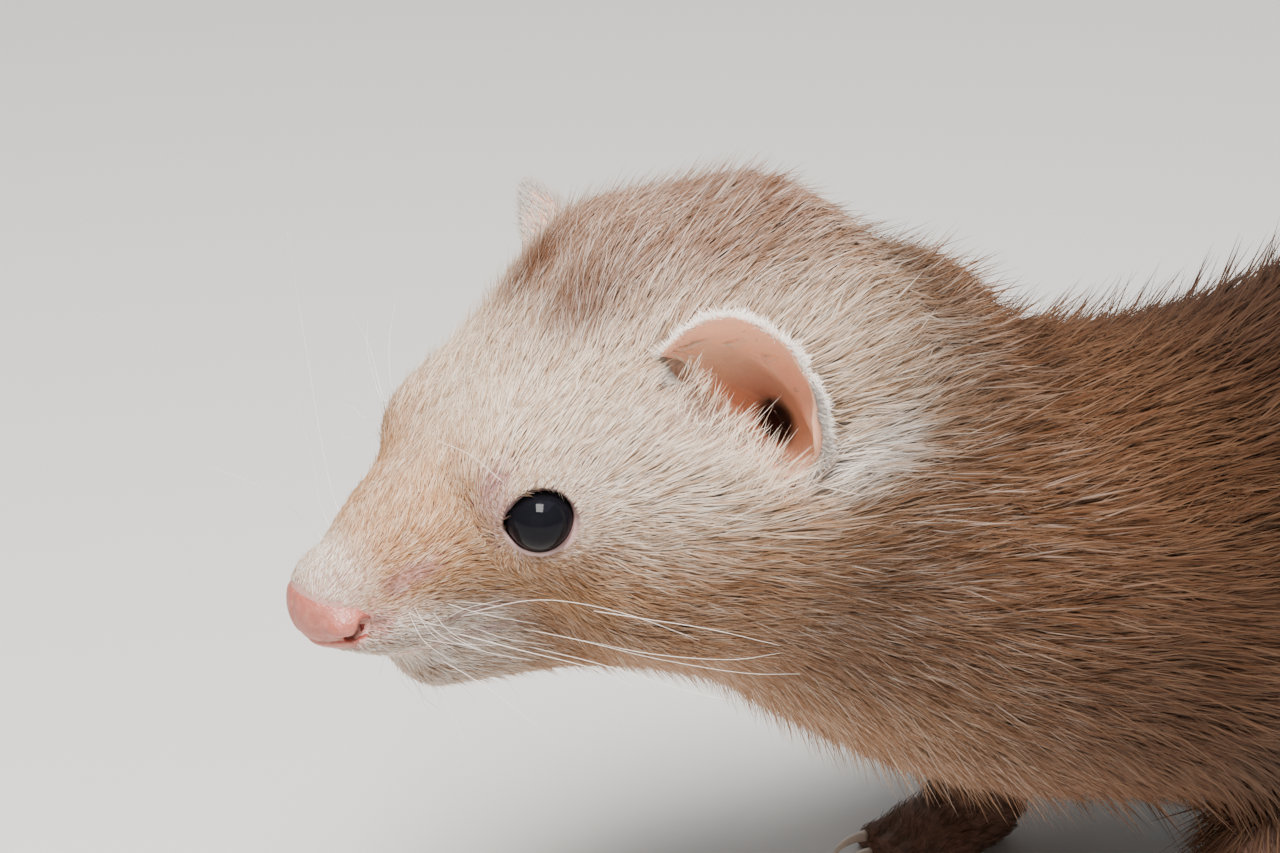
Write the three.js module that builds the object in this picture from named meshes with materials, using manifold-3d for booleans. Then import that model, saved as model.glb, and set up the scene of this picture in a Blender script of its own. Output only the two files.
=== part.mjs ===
// A life-size standing ferret, creeping low with its head raised.
// Millimetres. The row frame is +X forward (towards the nose), +Y to the animal's left and +Z up,
// with the origin on the floor under the middle of the model.
// The head is drawn in a frame of its own: x forward, y left, z up, from a point between the ears.
// Every outline is the outer surface of the coat.

import * as THREE from "three";
import { mergeVertices } from "three/addons/utils/BufferGeometryUtils.js";
import Module from "manifold-3d";

const wasm = await Module();
wasm.setup();

// Driving dimensions
const GAP = 0.3; // free space kept between neighbouring pieces
const PINCH = 0.05; // how deep a filled pinch lies
const WELD = 0.02; // corners of a cut closer than this become one
const HEAD_HEIGHT = 90; // the head frame's origin above the floor
const HEAD_PITCH = -7.3; // degrees, nose down
const HEAD_YAW = -4; // degrees, turned a little to the animal's right
const EYE_RADIUS = 3.8;
const EYE_AT = [25.3, 12.5, 2];
const EYE_LOOKS = [0.42, 0.87, 0.26];
const LID_THICKNESS = 0.9;
const EAR_THICKNESS = 1.7;
const CLAW_LENGTH = 6.5;
const CLAW_RADIUS = 0.75;
const MOUTH_GROOVE = 0.55; // radius of the lip line
const NOSE_PAD = { middle: [48.5, 0, -6.8], radii: [8.5, 6.9, 3.9] }; // the egg that holds the bare nose
const NOSTRIL_RADIUS = 0.75;

// Skull and muzzle sections: x, height of the middle, half width, half height
const SKULL = [
  [-30, -2.4, 17, 13.9],
  [-19, 1.5, 21.5, 23],
  [-8, 2.4, 23.5, 24.2],
  [5, 3.5, 22.6, 25.2],
  [16, 2.3, 18.8, 19.7],
  [25, 0.4, 14, 15.3],
  [32, -2.2, 11, 11.8],
  [39, -4, 8.4, 9.6],
  [45.2, -5.6, 5.6, 6.3],
];

// The trunk from the neck to the root of the tail: x, y, z, half width, half height
const TRUNK = [
  [-6, 0, 84.5, 24, 23],
  [-26, 1, 71, 27, 27],
  [-50, 1, 58.5, 30, 30.8],
  [-78, 0, 50, 32, 32.5],
  [-112, -1, 50, 31.5, 32.5],
  [-150, -2, 54.5, 31.5, 32.5],
  [-195, -2, 59.5, 33, 34.5],
  [-238, 0, 55, 32, 33],
  [-267, 2, 48, 22.5, 24],
  [-284, 3, 44, 13.5, 13.5],
];

// The tail, bushy in the middle and carried low, clear of the floor
const TAIL = [
  [-276, 2, 46, 13.5, 13.5],
  [-300, 5, 40, 12, 12],
  [-335, 11, 33, 12, 12],
  [-372, 18, 28, 9.6, 9.6],
  [-396, 23, 26, 6, 6],
  [-408, 26, 26, 3, 3],
];

// Limb joints on the left side: x, y, z, radius. The right side mirrors y and steps by STRIDE.
const ARM = [
  [-74, 16, 44, 18],
  [-88, 21, 28, 11.5],
  [-80, 21, 17, 8.2],
  [-74, 20.5, 8, 6.6],
];
const THIGH = [
  [-242, 14, 50, 22],
  [-224, 22, 33, 14],
  [-238, 23, 23, 9],
  [-252, 22, 12, 7],
  [-246, 22, 7, 6.2],
];
const STRIDE = { front: 8, hind: -10 };
const LIMB_ROOM = {
  front: { middle: [-82, 27, 22], radii: [28, 26, 33] },
  hind: { middle: [-239, 27, 28], radii: [37, 26, 36] },
};
const LIMB_SPAN = { front: [-118, -42], hind: [-286, -198] };
const MIDRIB = 4; // half the wall left between the left and right limbs' cuts
const PAWS = {
  front: { heel: [-74, 20.5, 5.2], reach: 13, width: 7.6, height: 5.6 },
  hind: { heel: [-247, 22, 5.2], reach: 22, width: 7.4, height: 5.4 },
};
const TOES = 4;
const TOE_RADIUS = 2.7;
const SOLE_SINK = 1.4; // how much of the pads' round underside the floor flattens

// Grid cells that the surfaces are drawn with
const FACE_CELL = 2.5;
const CROWN_CELL = 5.4;
const TRUNK_CELL = 9.9;
const TAIL_CELL = 6.6;
const LEG_CELL = 6.1;
const PAW_CELL = 2.8;

// Small helpers
const FAR = 1e6; // a field value that stands for empty space
const rad = THREE.MathUtils.degToRad;
const clamp = THREE.MathUtils.clamp;
const mix = THREE.MathUtils.lerp;

/** Smooth union of two fields' values over a blend width. */
function blend(a, b, width) {
  const h = clamp(0.5 + (0.5 * (b - a)) / width, 0, 1);
  return mix(b, a, h) - width * h * (1 - h);
}

/** Rows of numbers made smooth by a Catmull-Rom curve, with count rows to a span. */
function smoothRows(rows, count) {
  const n = rows.length;
  const at = (i) =>
    i < 0
      ? rows[0].map((v, k) => 2 * v - rows[1][k])
      : i >= n
        ? rows[n - 1].map((v, k) => 2 * v - rows[n - 2][k])
        : rows[i];
  const out = [];
  for (let i = 0; i < n - 1; i++) {
    const [a, b, c, d] = [at(i - 1), at(i), at(i + 1), at(i + 2)];
    for (let j = 0; j < count; j++) {
      const t = j / count;
      out.push(
        b.map(
          (v, k) =>
            0.5 *
            (2 * v +
              (c[k] - a[k]) * t +
              (2 * a[k] - 5 * v + 4 * c[k] - d[k]) * t * t +
              (3 * v - 3 * c[k] + d[k] - a[k]) * t * t * t),
        ),
      );
    }
  }
  out.push(rows[n - 1]);
  return out;
}

/** Field of elliptical sections swept along a path: rows of x, y, z, half width, half height. */
function sweep(rows) {
  const parts = rows.slice(1).map((b, i) => {
    const a = rows[i];
    const from = new THREE.Vector3(a[0], a[1], a[2]);
    const step = new THREE.Vector3(b[0], b[1], b[2]).sub(from);
    const along = step.clone().normalize();
    const side = new THREE.Vector3(0, 0, 1).cross(along).normalize();
    const up = along.clone().cross(side);
    return { a, b, from, step, square: step.lengthSq(), along, side, up };
  });
  const q = new THREE.Vector3();
  return (x, y, z) => {
    let near = Infinity;
    let value = Infinity;
    for (const s of parts) {
      q.set(x, y, z).sub(s.from);
      const t = clamp(q.dot(s.step) / s.square, 0, 1);
      q.addScaledVector(s.step, -t);
      const far = q.lengthSq();
      if (far >= near) continue;
      near = far;
      const w = mix(s.a[3], s.b[3], t);
      const h = mix(s.a[4], s.b[4], t);
      const m = Math.min(w, h);
      value =
        (Math.hypot(q.dot(s.side) / w, q.dot(s.up) / h, q.dot(s.along) / m) - 1) * m;
    }
    return value;
  };
}

/** Field of a straight loft along x with round ends: rows of x, middle height, half width, half height. */
function loftAlongX(rows) {
  const first = rows[0][0];
  const last = rows[rows.length - 1][0];
  return (x, y, z) => {
    const u = clamp(x, first, last);
    let i = 1;
    while (i < rows.length - 1 && rows[i][0] < u) i++;
    const [a, b] = [rows[i - 1], rows[i]];
    const t = (u - a[0]) / (b[0] - a[0]);
    const w = mix(a[2], b[2], t);
    const h = mix(a[3], b[3], t);
    const m = Math.min(w, h);
    return (Math.hypot(y / w, (z - mix(a[1], b[1], t)) / h, (x - u) / m) - 1) * m;
  };
}

/** Field of an ellipsoid. */
function egg([cx, cy, cz], [rx, ry, rz]) {
  return (x, y, z) => {
    const [a, b, c] = [(x - cx) / rx, (y - cy) / ry, (z - cz) / rz];
    const k = Math.hypot(a, b, c);
    return (k * (k - 1)) / (Math.hypot(a / rx, b / ry, c / rz) + 1e-9);
  };
}

/** Field of a round cone between two points. */
function cone([ax, ay, az], [bx, by, bz], ra, rb) {
  const [dx, dy, dz] = [bx - ax, by - ay, bz - az];
  const square = dx * dx + dy * dy + dz * dz;
  return (x, y, z) => {
    const t = clamp(((x - ax) * dx + (y - ay) * dy + (z - az) * dz) / square, 0, 1);
    return Math.hypot(x - ax - t * dx, y - ay - t * dy, z - az - t * dz) - mix(ra, rb, t);
  };
}

// The head
const headFrame = new THREE.Matrix4()
  .makeRotationFromEuler(new THREE.Euler(0, -rad(HEAD_PITCH), rad(HEAD_YAW), "ZYX"))
  .setPosition(0, 0, HEAD_HEIGHT);
const toHead = headFrame.clone().invert();

const skull = loftAlongX(smoothRows(SKULL, 4));
const cheek = egg([5, 14, -8], [18, 10.5, 14]);
const jaw = cone([4, 3, -15.6], [34.5, 0.8, -16.3], 11.4, 4.9);
const brow = egg([23.5, 8.7, 7.2], [9, 5, 5.2]);
const whiskerPad = egg([39.5, 4.2, -8.4], [7.5, 4.4, 4]);
const noseBulb = egg([45.8, 0, -6.1], [4.9, 5.1, 4.5]);

/** Field of the head in its own frame, without eyes, ears, nose or mouth. */
function headField(x, y, z) {
  const side = Math.abs(y);
  let d = skull(x, side, z);
  d = blend(d, cheek(x, side, z), 9);
  d = blend(d, jaw(x, side, z), 7);
  d = blend(d, brow(x, side, z), 6);
  d = blend(d, whiskerPad(x, side, z), 2.5);
  return blend(d, noseBulb(x, side, z), 1.4);
}

// The trunk, tail and limbs
const trunk = sweep(smoothRows(TRUNK, 3));
const tail = sweep(smoothRows(TAIL, 3));

/** A limb's joints on one side, stepped forward or back and closed up on its path. */
function limbField(joints, side, stride) {
  const feet = joints.length - 1;
  const rows = joints.map(([x, y, z, r], i) => [
    x + (side < 0 ? (stride * i) / feet : 0),
    side * y,
    z,
    r,
  ]);
  const cones = rows.slice(1).map((b, i) => cone(rows[i], b, rows[i][3], b[3]));
  return (x, y, z) => cones.reduce((d, f) => blend(d, f(x, y, z), 3), FAR);
}

const SIDES = { left: 1, right: -1 };
const limbs = [];
for (const [name, side] of Object.entries(SIDES)) {
  limbs.push({ name, side, end: "front", field: limbField(ARM, side, STRIDE.front) });
  limbs.push({ name, side, end: "hind", field: limbField(THIGH, side, STRIDE.hind) });
}

/** Where a paw's toe lies: its root, its tip and its radius, in the row frame. */
function toeLine(end, side, index) {
  const paw = PAWS[end];
  const shift = side < 0 ? STRIDE[end] : 0;
  const across = (index - (TOES - 1) / 2) / ((TOES - 1) / 2);
  const [x, y, z] = paw.heel;
  const tipX = x + shift + paw.reach + 3 - 2.6 * across * across;
  return {
    root: [x + shift + paw.reach * 0.45, side * y + across * (paw.width - 3.4), z - 1.2],
    tip: [tipX, side * y + across * (paw.width - 1.6), TOE_RADIUS - SOLE_SINK + 0.2],
  };
}

/** Field of a paw with its toes, before the floor flattens its pads. */
function pawField(end, side) {
  const paw = PAWS[end];
  const shift = side < 0 ? STRIDE[end] : 0;
  const [x, y, z] = paw.heel;
  const palm = sweep([
    [x + shift - 1, side * y, z, 6, 5.6],
    [x + shift + paw.reach * 0.6, side * y, z - 1.4, paw.width, paw.height - 1.2],
  ]);
  const toes = Array.from({ length: TOES }, (_, i) => {
    const { root, tip } = toeLine(end, side, i);
    return cone(root, tip, TOE_RADIUS, TOE_RADIUS * 0.92);
  });
  return (x1, y1, z1) =>
    toes.reduce((d, f) => blend(d, f(x1, y1, z1), 1), palm(x1, y1, z1));
}

/** Field of the whole body in the row frame: trunk, limbs and head in one skin. */
function bodyField(x, y, z) {
  let d = trunk(x, y, z);
  for (const limb of limbs) d = blend(d, limb.field(x, y, z), 9);
  if (x > -60) {
    const e = toHead.elements;
    const hx = e[0] * x + e[4] * y + e[8] * z + e[12];
    const hy = e[1] * x + e[5] * y + e[9] * z + e[13];
    const hz = e[2] * x + e[6] * y + e[10] * z + e[14];
    d = blend(d, headField(hx, hy, hz), 10);
  }
  return d;
}

// Surfaces of fields

/** Evenly spaced numbers from low to high, about step apart. */
function ticks(low, high, step) {
  const n = Math.max(2, Math.ceil((high - low) / step));
  return Array.from({ length: n + 1 }, (_, i) => mix(low, high, i / n));
}

/** Fills a sampled field where two bodies would meet along one edge of a cell only. */
function fillPinches(value, [nx, ny, nz]) {
  const steps = [ny * nz, nz, 1];
  let found = true;
  while (found) {
    found = false;
    for (let i = 0; i < nx - 1; i++)
      for (let j = 0; j < ny - 1; j++)
        for (let k = 0; k < nz - 1; k++)
          for (let axis = 0; axis < 3; axis++) {
            const a = (i * ny + j) * nz + k;
            const u = steps[(axis + 1) % 3];
            const v = steps[(axis + 2) % 3];
            const inside = [a, a + u, a + u + v, a + v].map((n) => value[n] < 0);
            if (inside[0] !== inside[2] || inside[1] !== inside[3]) continue;
            if (inside[0] === inside[1]) continue;
            const empty = inside[0] ? [a + u, a + v] : [a, a + u + v];
            const least = value[empty[0]] < value[empty[1]] ? empty[0] : empty[1];
            value[least] = -PINCH;
            found = true;
          }
  }
}

/** A point moved onto the surface where a field is zero, by at most a limit. */
function settled(field, start, limit) {
  const p = [...start];
  const STEP = 0.05;
  for (let turn = 0; turn < 3; turn++) {
    const v = field(...p);
    const slope = p.map((c, i) => {
      const q = [...p];
      q[i] = c + STEP;
      return (field(...q) - v) / STEP;
    });
    const square = slope.reduce((sum, g) => sum + g * g, 1e-6);
    for (let i = 0; i < 3; i++) p[i] -= (v * slope[i]) / square;
  }
  const off = Math.hypot(p[0] - start[0], p[1] - start[1], p[2] - start[2]);
  const share = Math.min(1, limit / (off + 1e-9));
  return p.map((c, i) => mix(start[i], c, share));
}

/** A closed surface where a field is zero, on a grid given by its lines, shut at the grid's faces. */
function surfaceOf(field, xs, ys, zs) {
  const [nx, ny, nz] = [xs.length, ys.length, zs.length];
  const id = (i, j, k) => (i * ny + j) * nz + k;
  const value = new Float64Array(nx * ny * nz);
  for (let i = 0; i < nx; i++)
    for (let j = 0; j < ny; j++)
      for (let k = 0; k < nz; k++) {
        const v = field(xs[i], ys[j], zs[k]);
        const rim = i % (nx - 1) === 0 || j % (ny - 1) === 0 || k % (nz - 1) === 0;
        value[id(i, j, k)] = rim ? Math.abs(v) + 0.1 : v;
      }
  fillPinches(value, [nx, ny, nz]);
  const vertex = new Int32Array(nx * ny * nz).fill(-1);
  const points = [];
  for (let i = 0; i < nx - 1; i++)
    for (let j = 0; j < ny - 1; j++)
      for (let k = 0; k < nz - 1; k++) {
        const sum = [0, 0, 0];
        let count = 0;
        for (let axis = 0; axis < 3; axis++)
          for (let corner = 0; corner < 4; corner++) {
            const c = [0, 0, 0];
            c[(axis + 1) % 3] = corner & 1;
            c[(axis + 2) % 3] = corner >> 1;
            const a = value[id(i + c[0], j + c[1], k + c[2])];
            const e = [...c];
            e[axis] = 1;
            const b = value[id(i + e[0], j + e[1], k + e[2])];
            if (a < 0 === b < 0) continue;
            const t = a / (a - b);
            sum[0] += mix(xs[i + c[0]], xs[i + e[0]], t);
            sum[1] += mix(ys[j + c[1]], ys[j + e[1]], t);
            sum[2] += mix(zs[k + c[2]], zs[k + e[2]], t);
            count++;
          }
        if (!count) continue;
        vertex[id(i, j, k)] = points.length / 3;
        const cell = Math.min(xs[i + 1] - xs[i], ys[j + 1] - ys[j], zs[k + 1] - zs[k]);
        points.push(...settled(field, sum.map((v) => v / count), cell / 3));
      }
  const faces = [];
  const apart = (a, b) =>
    Math.hypot(
      points[3 * a] - points[3 * b],
      points[3 * a + 1] - points[3 * b + 1],
      points[3 * a + 2] - points[3 * b + 2],
    );
  for (let i = 0; i < nx - 1; i++)
    for (let j = 0; j < ny - 1; j++)
      for (let k = 0; k < nz - 1; k++)
        for (let axis = 0; axis < 3; axis++) {
          const e = [i, j, k];
          if (!e[(axis + 1) % 3] || !e[(axis + 2) % 3]) continue;
          e[axis]++;
          const a = value[id(i, j, k)] < 0;
          if (a === value[id(...e)] < 0) continue;
          const u = [0, 0, 0];
          const v = [0, 0, 0];
          u[(axis + 1) % 3] = -1;
          v[(axis + 2) % 3] = -1;
          const p = vertex[id(i, j, k)];
          const q = vertex[id(i + u[0], j + u[1], k + u[2])];
          const r = vertex[id(i + u[0] + v[0], j + u[1] + v[1], k + u[2] + v[2])];
          const s = vertex[id(i + v[0], j + v[1], k + v[2])];
          const ring = a ? [p, q, r, s] : [p, s, r, q];
          if (apart(ring[0], ring[2]) <= apart(ring[1], ring[3]))
            faces.push(ring[0], ring[1], ring[2], ring[0], ring[2], ring[3]);
          else faces.push(ring[1], ring[2], ring[3], ring[1], ring[3], ring[0]);
        }
  const geometry = new THREE.BufferGeometry();
  geometry.setAttribute("position", new THREE.Float32BufferAttribute(points, 3));
  geometry.setIndex(faces);
  return geometry;
}

// Solids

/** A closed geometry as a solid. */
function solid(geometry) {
  const bare = geometry.clone();
  for (const name of Object.keys(bare.attributes))
    if (name !== "position") bare.deleteAttribute(name);
  const merged = mergeVertices(bare, 1e-4);
  return new wasm.Manifold(
    new wasm.Mesh({
      numProp: 3,
      vertProperties: new Float32Array(merged.attributes.position.array),
      triVerts: new Uint32Array(merged.index.array),
    }),
  );
}

/** The largest closed surface of a solid, with everything smaller dropped. */
function largest(made) {
  return made
    .decompose()
    .reduce((best, s) => (best && best.volume() >= s.volume() ? best : s), null);
}

/** A solid's surface as a geometry, with corners that nearly touch made one. */
function geometryOf(made) {
  const mesh = made.getMesh();
  const raw = new THREE.BufferGeometry();
  const flat = new THREE.BufferAttribute(new Float32Array(mesh.vertProperties), 3);
  raw.setAttribute("position", flat);
  raw.setIndex(Array.from(mesh.triVerts));
  const geometry = mergeVertices(raw, WELD);
  const corners = geometry.index.array;
  const faces = new Map();
  for (let i = 0; i < corners.length; i += 3) {
    const [a, b, c] = corners.slice(i, i + 3);
    if (a === b || b === c || c === a) continue;
    const key = [a, b, c].sort((p, q) => p - q).join();
    if (!faces.delete(key)) faces.set(key, [a, b, c]);
  }
  geometry.setIndex([...faces.values()].flat());
  geometry.computeVertexNormals();
  return geometry;
}

const HUGE = 700;

/** A large block with one face through a point and the way into the block square to that face. */
function halfSpace(point, direction) {
  const way = new THREE.Vector3(...direction).normalize();
  const box = new THREE.BoxGeometry(HUGE, HUGE, HUGE).translate(0, 0, HUGE / 2);
  box.applyQuaternion(new THREE.Quaternion().setFromUnitVectors(new THREE.Vector3(0, 0, 1), way));
  return solid(box.translate(...point));
}

/** A block between two corners. */
function block(low, high) {
  const size = low.map((v, i) => high[i] - v);
  const box = new THREE.BoxGeometry(...size);
  return solid(box.translate(...low.map((v, i) => v + size[i] / 2)));
}

/** A point moved along a direction. */
function moved(point, direction, by) {
  const way = new THREE.Vector3(...direction).normalize();
  return [point[0] + way.x * by, point[1] + way.y * by, point[2] + way.z * by];
}

/** A part of the body between two planes, each a point and the direction away from the part. */
function slice(made, ends) {
  return ends.reduce(
    (s, [point, away]) => s.subtract(halfSpace(moved(point, away, -GAP / 2), away)),
    made,
  );
}

// Materials
const materials = {
  coat: new THREE.MeshStandardMaterial({ color: 0xc9a98c, roughness: 0.9, metalness: 0 }),
  face: new THREE.MeshStandardMaterial({ color: 0xe2c9b0, roughness: 0.9, metalness: 0 }),
  nose: new THREE.MeshStandardMaterial({ color: 0xdf9f93, roughness: 0.45, metalness: 0 }),
  ear: new THREE.MeshStandardMaterial({ color: 0xe5b59c, roughness: 0.7, metalness: 0 }),
  eye: new THREE.MeshStandardMaterial({ color: 0x0c0b0e, roughness: 0.08, metalness: 0 }),
  claw: new THREE.MeshStandardMaterial({ color: 0xe6d3c0, roughness: 0.4, metalness: 0 }),
};

const ferret = new THREE.Group();

/** Adds a solid to the model as a named mesh. */
function add(name, made, material) {
  const mesh = new THREE.Mesh(geometryOf(largest(made)), material);
  mesh.name = name;
  ferret.add(mesh);
}

// Cuts between the parts of the trunk: a point and the direction towards the tail
const NAPE = [[-14, 0, 84], [-0.93, 0, -0.36]];
const SHOULDERS = [[-46, 1, 61], [-0.88, 0, -0.47]];
const RIBS = [[-122, -1, 50], [-1, 0, 0]];
const LOIN = [[-205, -2, 55], [-1, 0, 0]];
const TAIL_ROOT = [[-279, 3, 46], [-0.96, 0, -0.24]];
const TAIL_MIDDLE = [[-335, 11, 33], [-0.96, 0.18, -0.16]];
const back = ([point, way]) => [point, way];
const front = ([point, way]) => [point, way.map((v) => -v)];

// The head and what it carries

/** A geometry drawn in the head's frame as a solid in the row frame. */
function headSolid(geometry) {
  return solid(geometry.applyMatrix4(headFrame));
}

/** A position and axis in the head's frame, mirrored for the right side. */
function mirrored([x, y, z], side) {
  return [x, y * side, z];
}

const eyeWay = (side) => new THREE.Vector3(...mirrored(EYE_LOOKS, side)).normalize();

/** The eyeball of one side, with a little more radius where a socket is wanted. */
function eyeball(side, extra) {
  const ball = new THREE.SphereGeometry(EYE_RADIUS + extra, 14, 9);
  return headSolid(ball.translate(...mirrored(EYE_AT, side)));
}

/** The lids as one almond ring round the eyeball's opening. */
function lids(side) {
  const ring = new THREE.TorusGeometry(EYE_RADIUS - 0.15, LID_THICKNESS, 6, 18);
  ring.scale(1.06, 0.94, 1);
  ring.applyQuaternion(
    new THREE.Quaternion().setFromUnitVectors(new THREE.Vector3(0, 0, 1), eyeWay(side)),
  );
  const at = eyeWay(side).multiplyScalar(1.2).add(new THREE.Vector3(...mirrored(EYE_AT, side)));
  return headSolid(ring.translate(at.x, at.y, at.z));
}

/** A tube along points in the head's frame. */
function tube(points, radius, steps, sides) {
  const path = new THREE.CatmullRomCurve3(points.map((p) => new THREE.Vector3(...p)));
  const section = new THREE.Shape();
  section.absarc(0, 0, radius, 0, 2 * Math.PI);
  const geometry = new THREE.ExtrudeGeometry(section, {
    extrudePath: path,
    steps,
    curveSegments: sides,
  });
  return headSolid(geometry);
}

/** A point of the head's surface, found by going out from the middle along a direction. */
function onHead(from, direction) {
  const way = new THREE.Vector3(...direction).normalize();
  let t = 0;
  for (let i = 0; i < 60; i++)
    t -= headField(from[0] + way.x * t, from[1] + way.y * t, from[2] + way.z * t);
  return [from[0] + way.x * t, from[1] + way.y * t, from[2] + way.z * t];
}

/** The line of the lips, from one corner of the mouth round under the nose to the other. */
function lipLine() {
  const LIPS = 15;
  const points = [];
  for (let i = 0; i < LIPS; i++) {
    const u = (2 * i) / (LIPS - 1) - 1;
    const lift = 2 * u * u;
    const angle = u * rad(106);
    const way = [Math.cos(angle) * 0.9 + 0.1, Math.sin(angle), 0];
    points.push(onHead([33, 0, -12.2 + lift], way));
  }
  return points;
}

/** A nostril: a short bent bore that opens to the side and curls in to the middle. */
function nostril(side) {
  const path = [
    [43.8, 8.4 * side, -5.8],
    [45.4, 6.4 * side, -6.7],
    [46.4, 4.4 * side, -7.6],
    [46.1, 2.4 * side, -7.8],
  ];
  return tube(path, NOSTRIL_RADIUS, 5, 5);
}

// The ears: D-shaped cups, straight at the front where they leave the head and round behind
const EAR_AT = [3.2, 17.9, 8.5]; // the middle of the straight front edge
const EAR_FACES = new THREE.Vector3(0.716, 0.65, -0.254).normalize();
const EAR_UP = new THREE.Vector3(0.52, -0.256, 0.814).normalize();
const EAR_BACK = EAR_UP.clone().cross(EAR_FACES);
const EAR_HALF_HEIGHT = 12.3;
const EAR_REACH = { back: 11.4, front: 3.5 };
const EAR_DEPTH = 9;
const EAR_LEAN = { back: -2, up: -6 }; // how far the bottom of the bowl lies off the rim's middle
const EAR_FLARE = [1.3, 0.75]; // how the bowl opens from its bottom to its rim
const EAR_MOUTH = 9; // how far the hollow in front of the rim runs out through the cheek
const EAR_AROUND = 20;
const EAR_DOWN = [0.96, 0.8, 0.5, 0.2, 0]; // shares of the depth, from the bottom to the rim

/** The egg that holds the bare nose, grown by a gap. */
function nosePad(extra) {
  const { middle, radii } = NOSE_PAD;
  const egg = new THREE.SphereGeometry(1, 18, 10).scale(...radii.map((r) => r + extra));
  return headSolid(egg.translate(...middle));
}

/** A closed surface over rings of points; a ring of one point is a pole. */
function shell(rings) {
  const points = [];
  const faces = [];
  const around = Math.max(...rings.map((ring) => ring.length));
  const ids = rings.map((ring) => {
    const put = ring.map((p) => points.push(p.x, p.y, p.z) / 3 - 1);
    return put.length === 1 ? Array(around).fill(put[0]) : put;
  });
  for (let i = 1; i < ids.length; i++)
    for (let j = 0; j < around; j++) {
      const [a, b] = [ids[i - 1][j], ids[i - 1][(j + 1) % around]];
      const [c, d] = [ids[i][j], ids[i][(j + 1) % around]];
      if (a !== b) faces.push(a, b, d);
      if (c !== d) faces.push(a, d, c);
    }
  const geometry = new THREE.BufferGeometry();
  geometry.setAttribute("position", new THREE.Float32BufferAttribute(points, 3));
  geometry.setIndex(faces);
  return geometry;
}

/** One ring of an ear's bowl in the head's frame: share of the depth, offset out, run through the cheek. */
function earRing(down, offset, side, run = 0) {
  const size = (1 - down ** EAR_FLARE[0]) ** EAR_FLARE[1];
  return Array.from({ length: EAR_AROUND }, (_, i) => {
    const turn = (side * 2 * Math.PI * i) / EAR_AROUND;
    const [c, s] = [Math.cos(turn), Math.sin(turn)];
    const power = s > 0 ? 0.72 : 1.02; // fuller above than below
    const reach = c > 0 ? EAR_REACH.back : EAR_REACH.front;
    const back = (reach + offset) * size * Math.sign(c) * Math.abs(c) ** power;
    const up = (EAR_HALF_HEIGHT + offset) * size * Math.sign(s) * Math.abs(s) ** power;
    const p = new THREE.Vector3(...EAR_AT)
      .addScaledVector(EAR_BACK, back + EAR_LEAN.back * down)
      .addScaledVector(EAR_UP, up + EAR_LEAN.up * down)
      .addScaledVector(EAR_FACES, -(EAR_DEPTH + offset) * down);
    const out = run * clamp(0.7 - 0.6 * c, 0, 1);
    return new THREE.Vector3(p.x + 0.3 * out, (p.y + 0.95 * out) * side, p.z);
  });
}

/** The bottom of an ear's bowl as a ring of one point. */
function earPole(offset, side) {
  const middle = earRing(1, offset, side).reduce((sum, p) => sum.add(p), new THREE.Vector3());
  return [middle.divideScalar(EAR_AROUND)];
}

/** The cup of one ear: an outer bowl and, inside it, an inner one, joined at the rim. */
function earCup(side) {
  const outer = EAR_DOWN.map((down) => earRing(down, 0, side));
  const inner = [...EAR_DOWN].reverse().map((down) => earRing(down, -EAR_THICKNESS, side));
  return headSolid(shell([earPole(0, side), ...outer, ...inner, earPole(-EAR_THICKNESS, side)]));
}

/** The room that an ear takes from the head, with the hollow in front of its rim. */
function earRoom(side) {
  const bowl = EAR_DOWN.map((down) => earRing(down, GAP, side));
  const out = earRing(0, GAP, side, EAR_MOUTH);
  const middle = out.reduce((sum, p) => sum.add(p.clone()), new THREE.Vector3());
  return headSolid(shell([earPole(GAP, side), ...bowl, out, [middle.divideScalar(EAR_AROUND)]]));
}

const headGrid = [
  [...ticks(-34, 12, CROWN_CELL), ...ticks(14.5, 52, FACE_CELL)],
  [...ticks(-34, -17, CROWN_CELL), ...ticks(-14.5, 14.5, FACE_CELL), ...ticks(17, 34, CROWN_CELL)],
  [...ticks(46, 66, CROWN_CELL), ...ticks(68.5, 100, FACE_CELL), ...ticks(103, 124, CROWN_CELL)],
];
const headMesh = solid(surfaceOf(bodyField, ...headGrid));
const bores = [nostril(1), nostril(-1)];
let headMade = slice(headMesh, [back(NAPE)]);
for (const side of Object.values(SIDES)) {
  headMade = headMade.add(lids(side));
  headMade = headMade.subtract(eyeball(side, GAP)).subtract(earRoom(side));
}
headMade = headMade.subtract(tube(lipLine(), MOUTH_GROOVE, 26, 4));
headMade = headMade.subtract(nosePad(GAP));
headMade = headMade.subtract(bores[0]).subtract(bores[1]);
add("head", headMade, materials.face);

let noseMade = headMesh.intersect(nosePad(0));
noseMade = noseMade.subtract(bores[0]).subtract(bores[1]);
add("nose", noseMade, materials.nose);

for (const [name, side] of Object.entries(SIDES)) {
  add(name + "_ear", earCup(side), materials.ear);
  add(name + "_eye", eyeball(side, 0), materials.eye);
}

// The trunk and tail
const trunkGrid = [ticks(-300, 6, TRUNK_CELL), ticks(-42, 42, TRUNK_CELL), ticks(8, 122, TRUNK_CELL)];
const bodyMesh = solid(surfaceOf(bodyField, ...trunkGrid));

/** The egg-shaped room that a limb takes from the body, grown by a margin and kept off the middle. */
function limbRoom(limb, extra) {
  const { middle, radii } = LIMB_ROOM[limb.end];
  const shift = limb.side < 0 ? STRIDE[limb.end] * 0.4 : 0;
  const ball = new THREE.SphereGeometry(1, 18, 12).scale(...radii.map((r) => r + extra));
  ball.translate(middle[0] + shift, limb.side * middle[1], middle[2]);
  const way = [0, -limb.side, 0];
  return solid(ball).subtract(halfSpace([0, limb.side * (MIDRIB - extra), 0], way));
}

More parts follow.
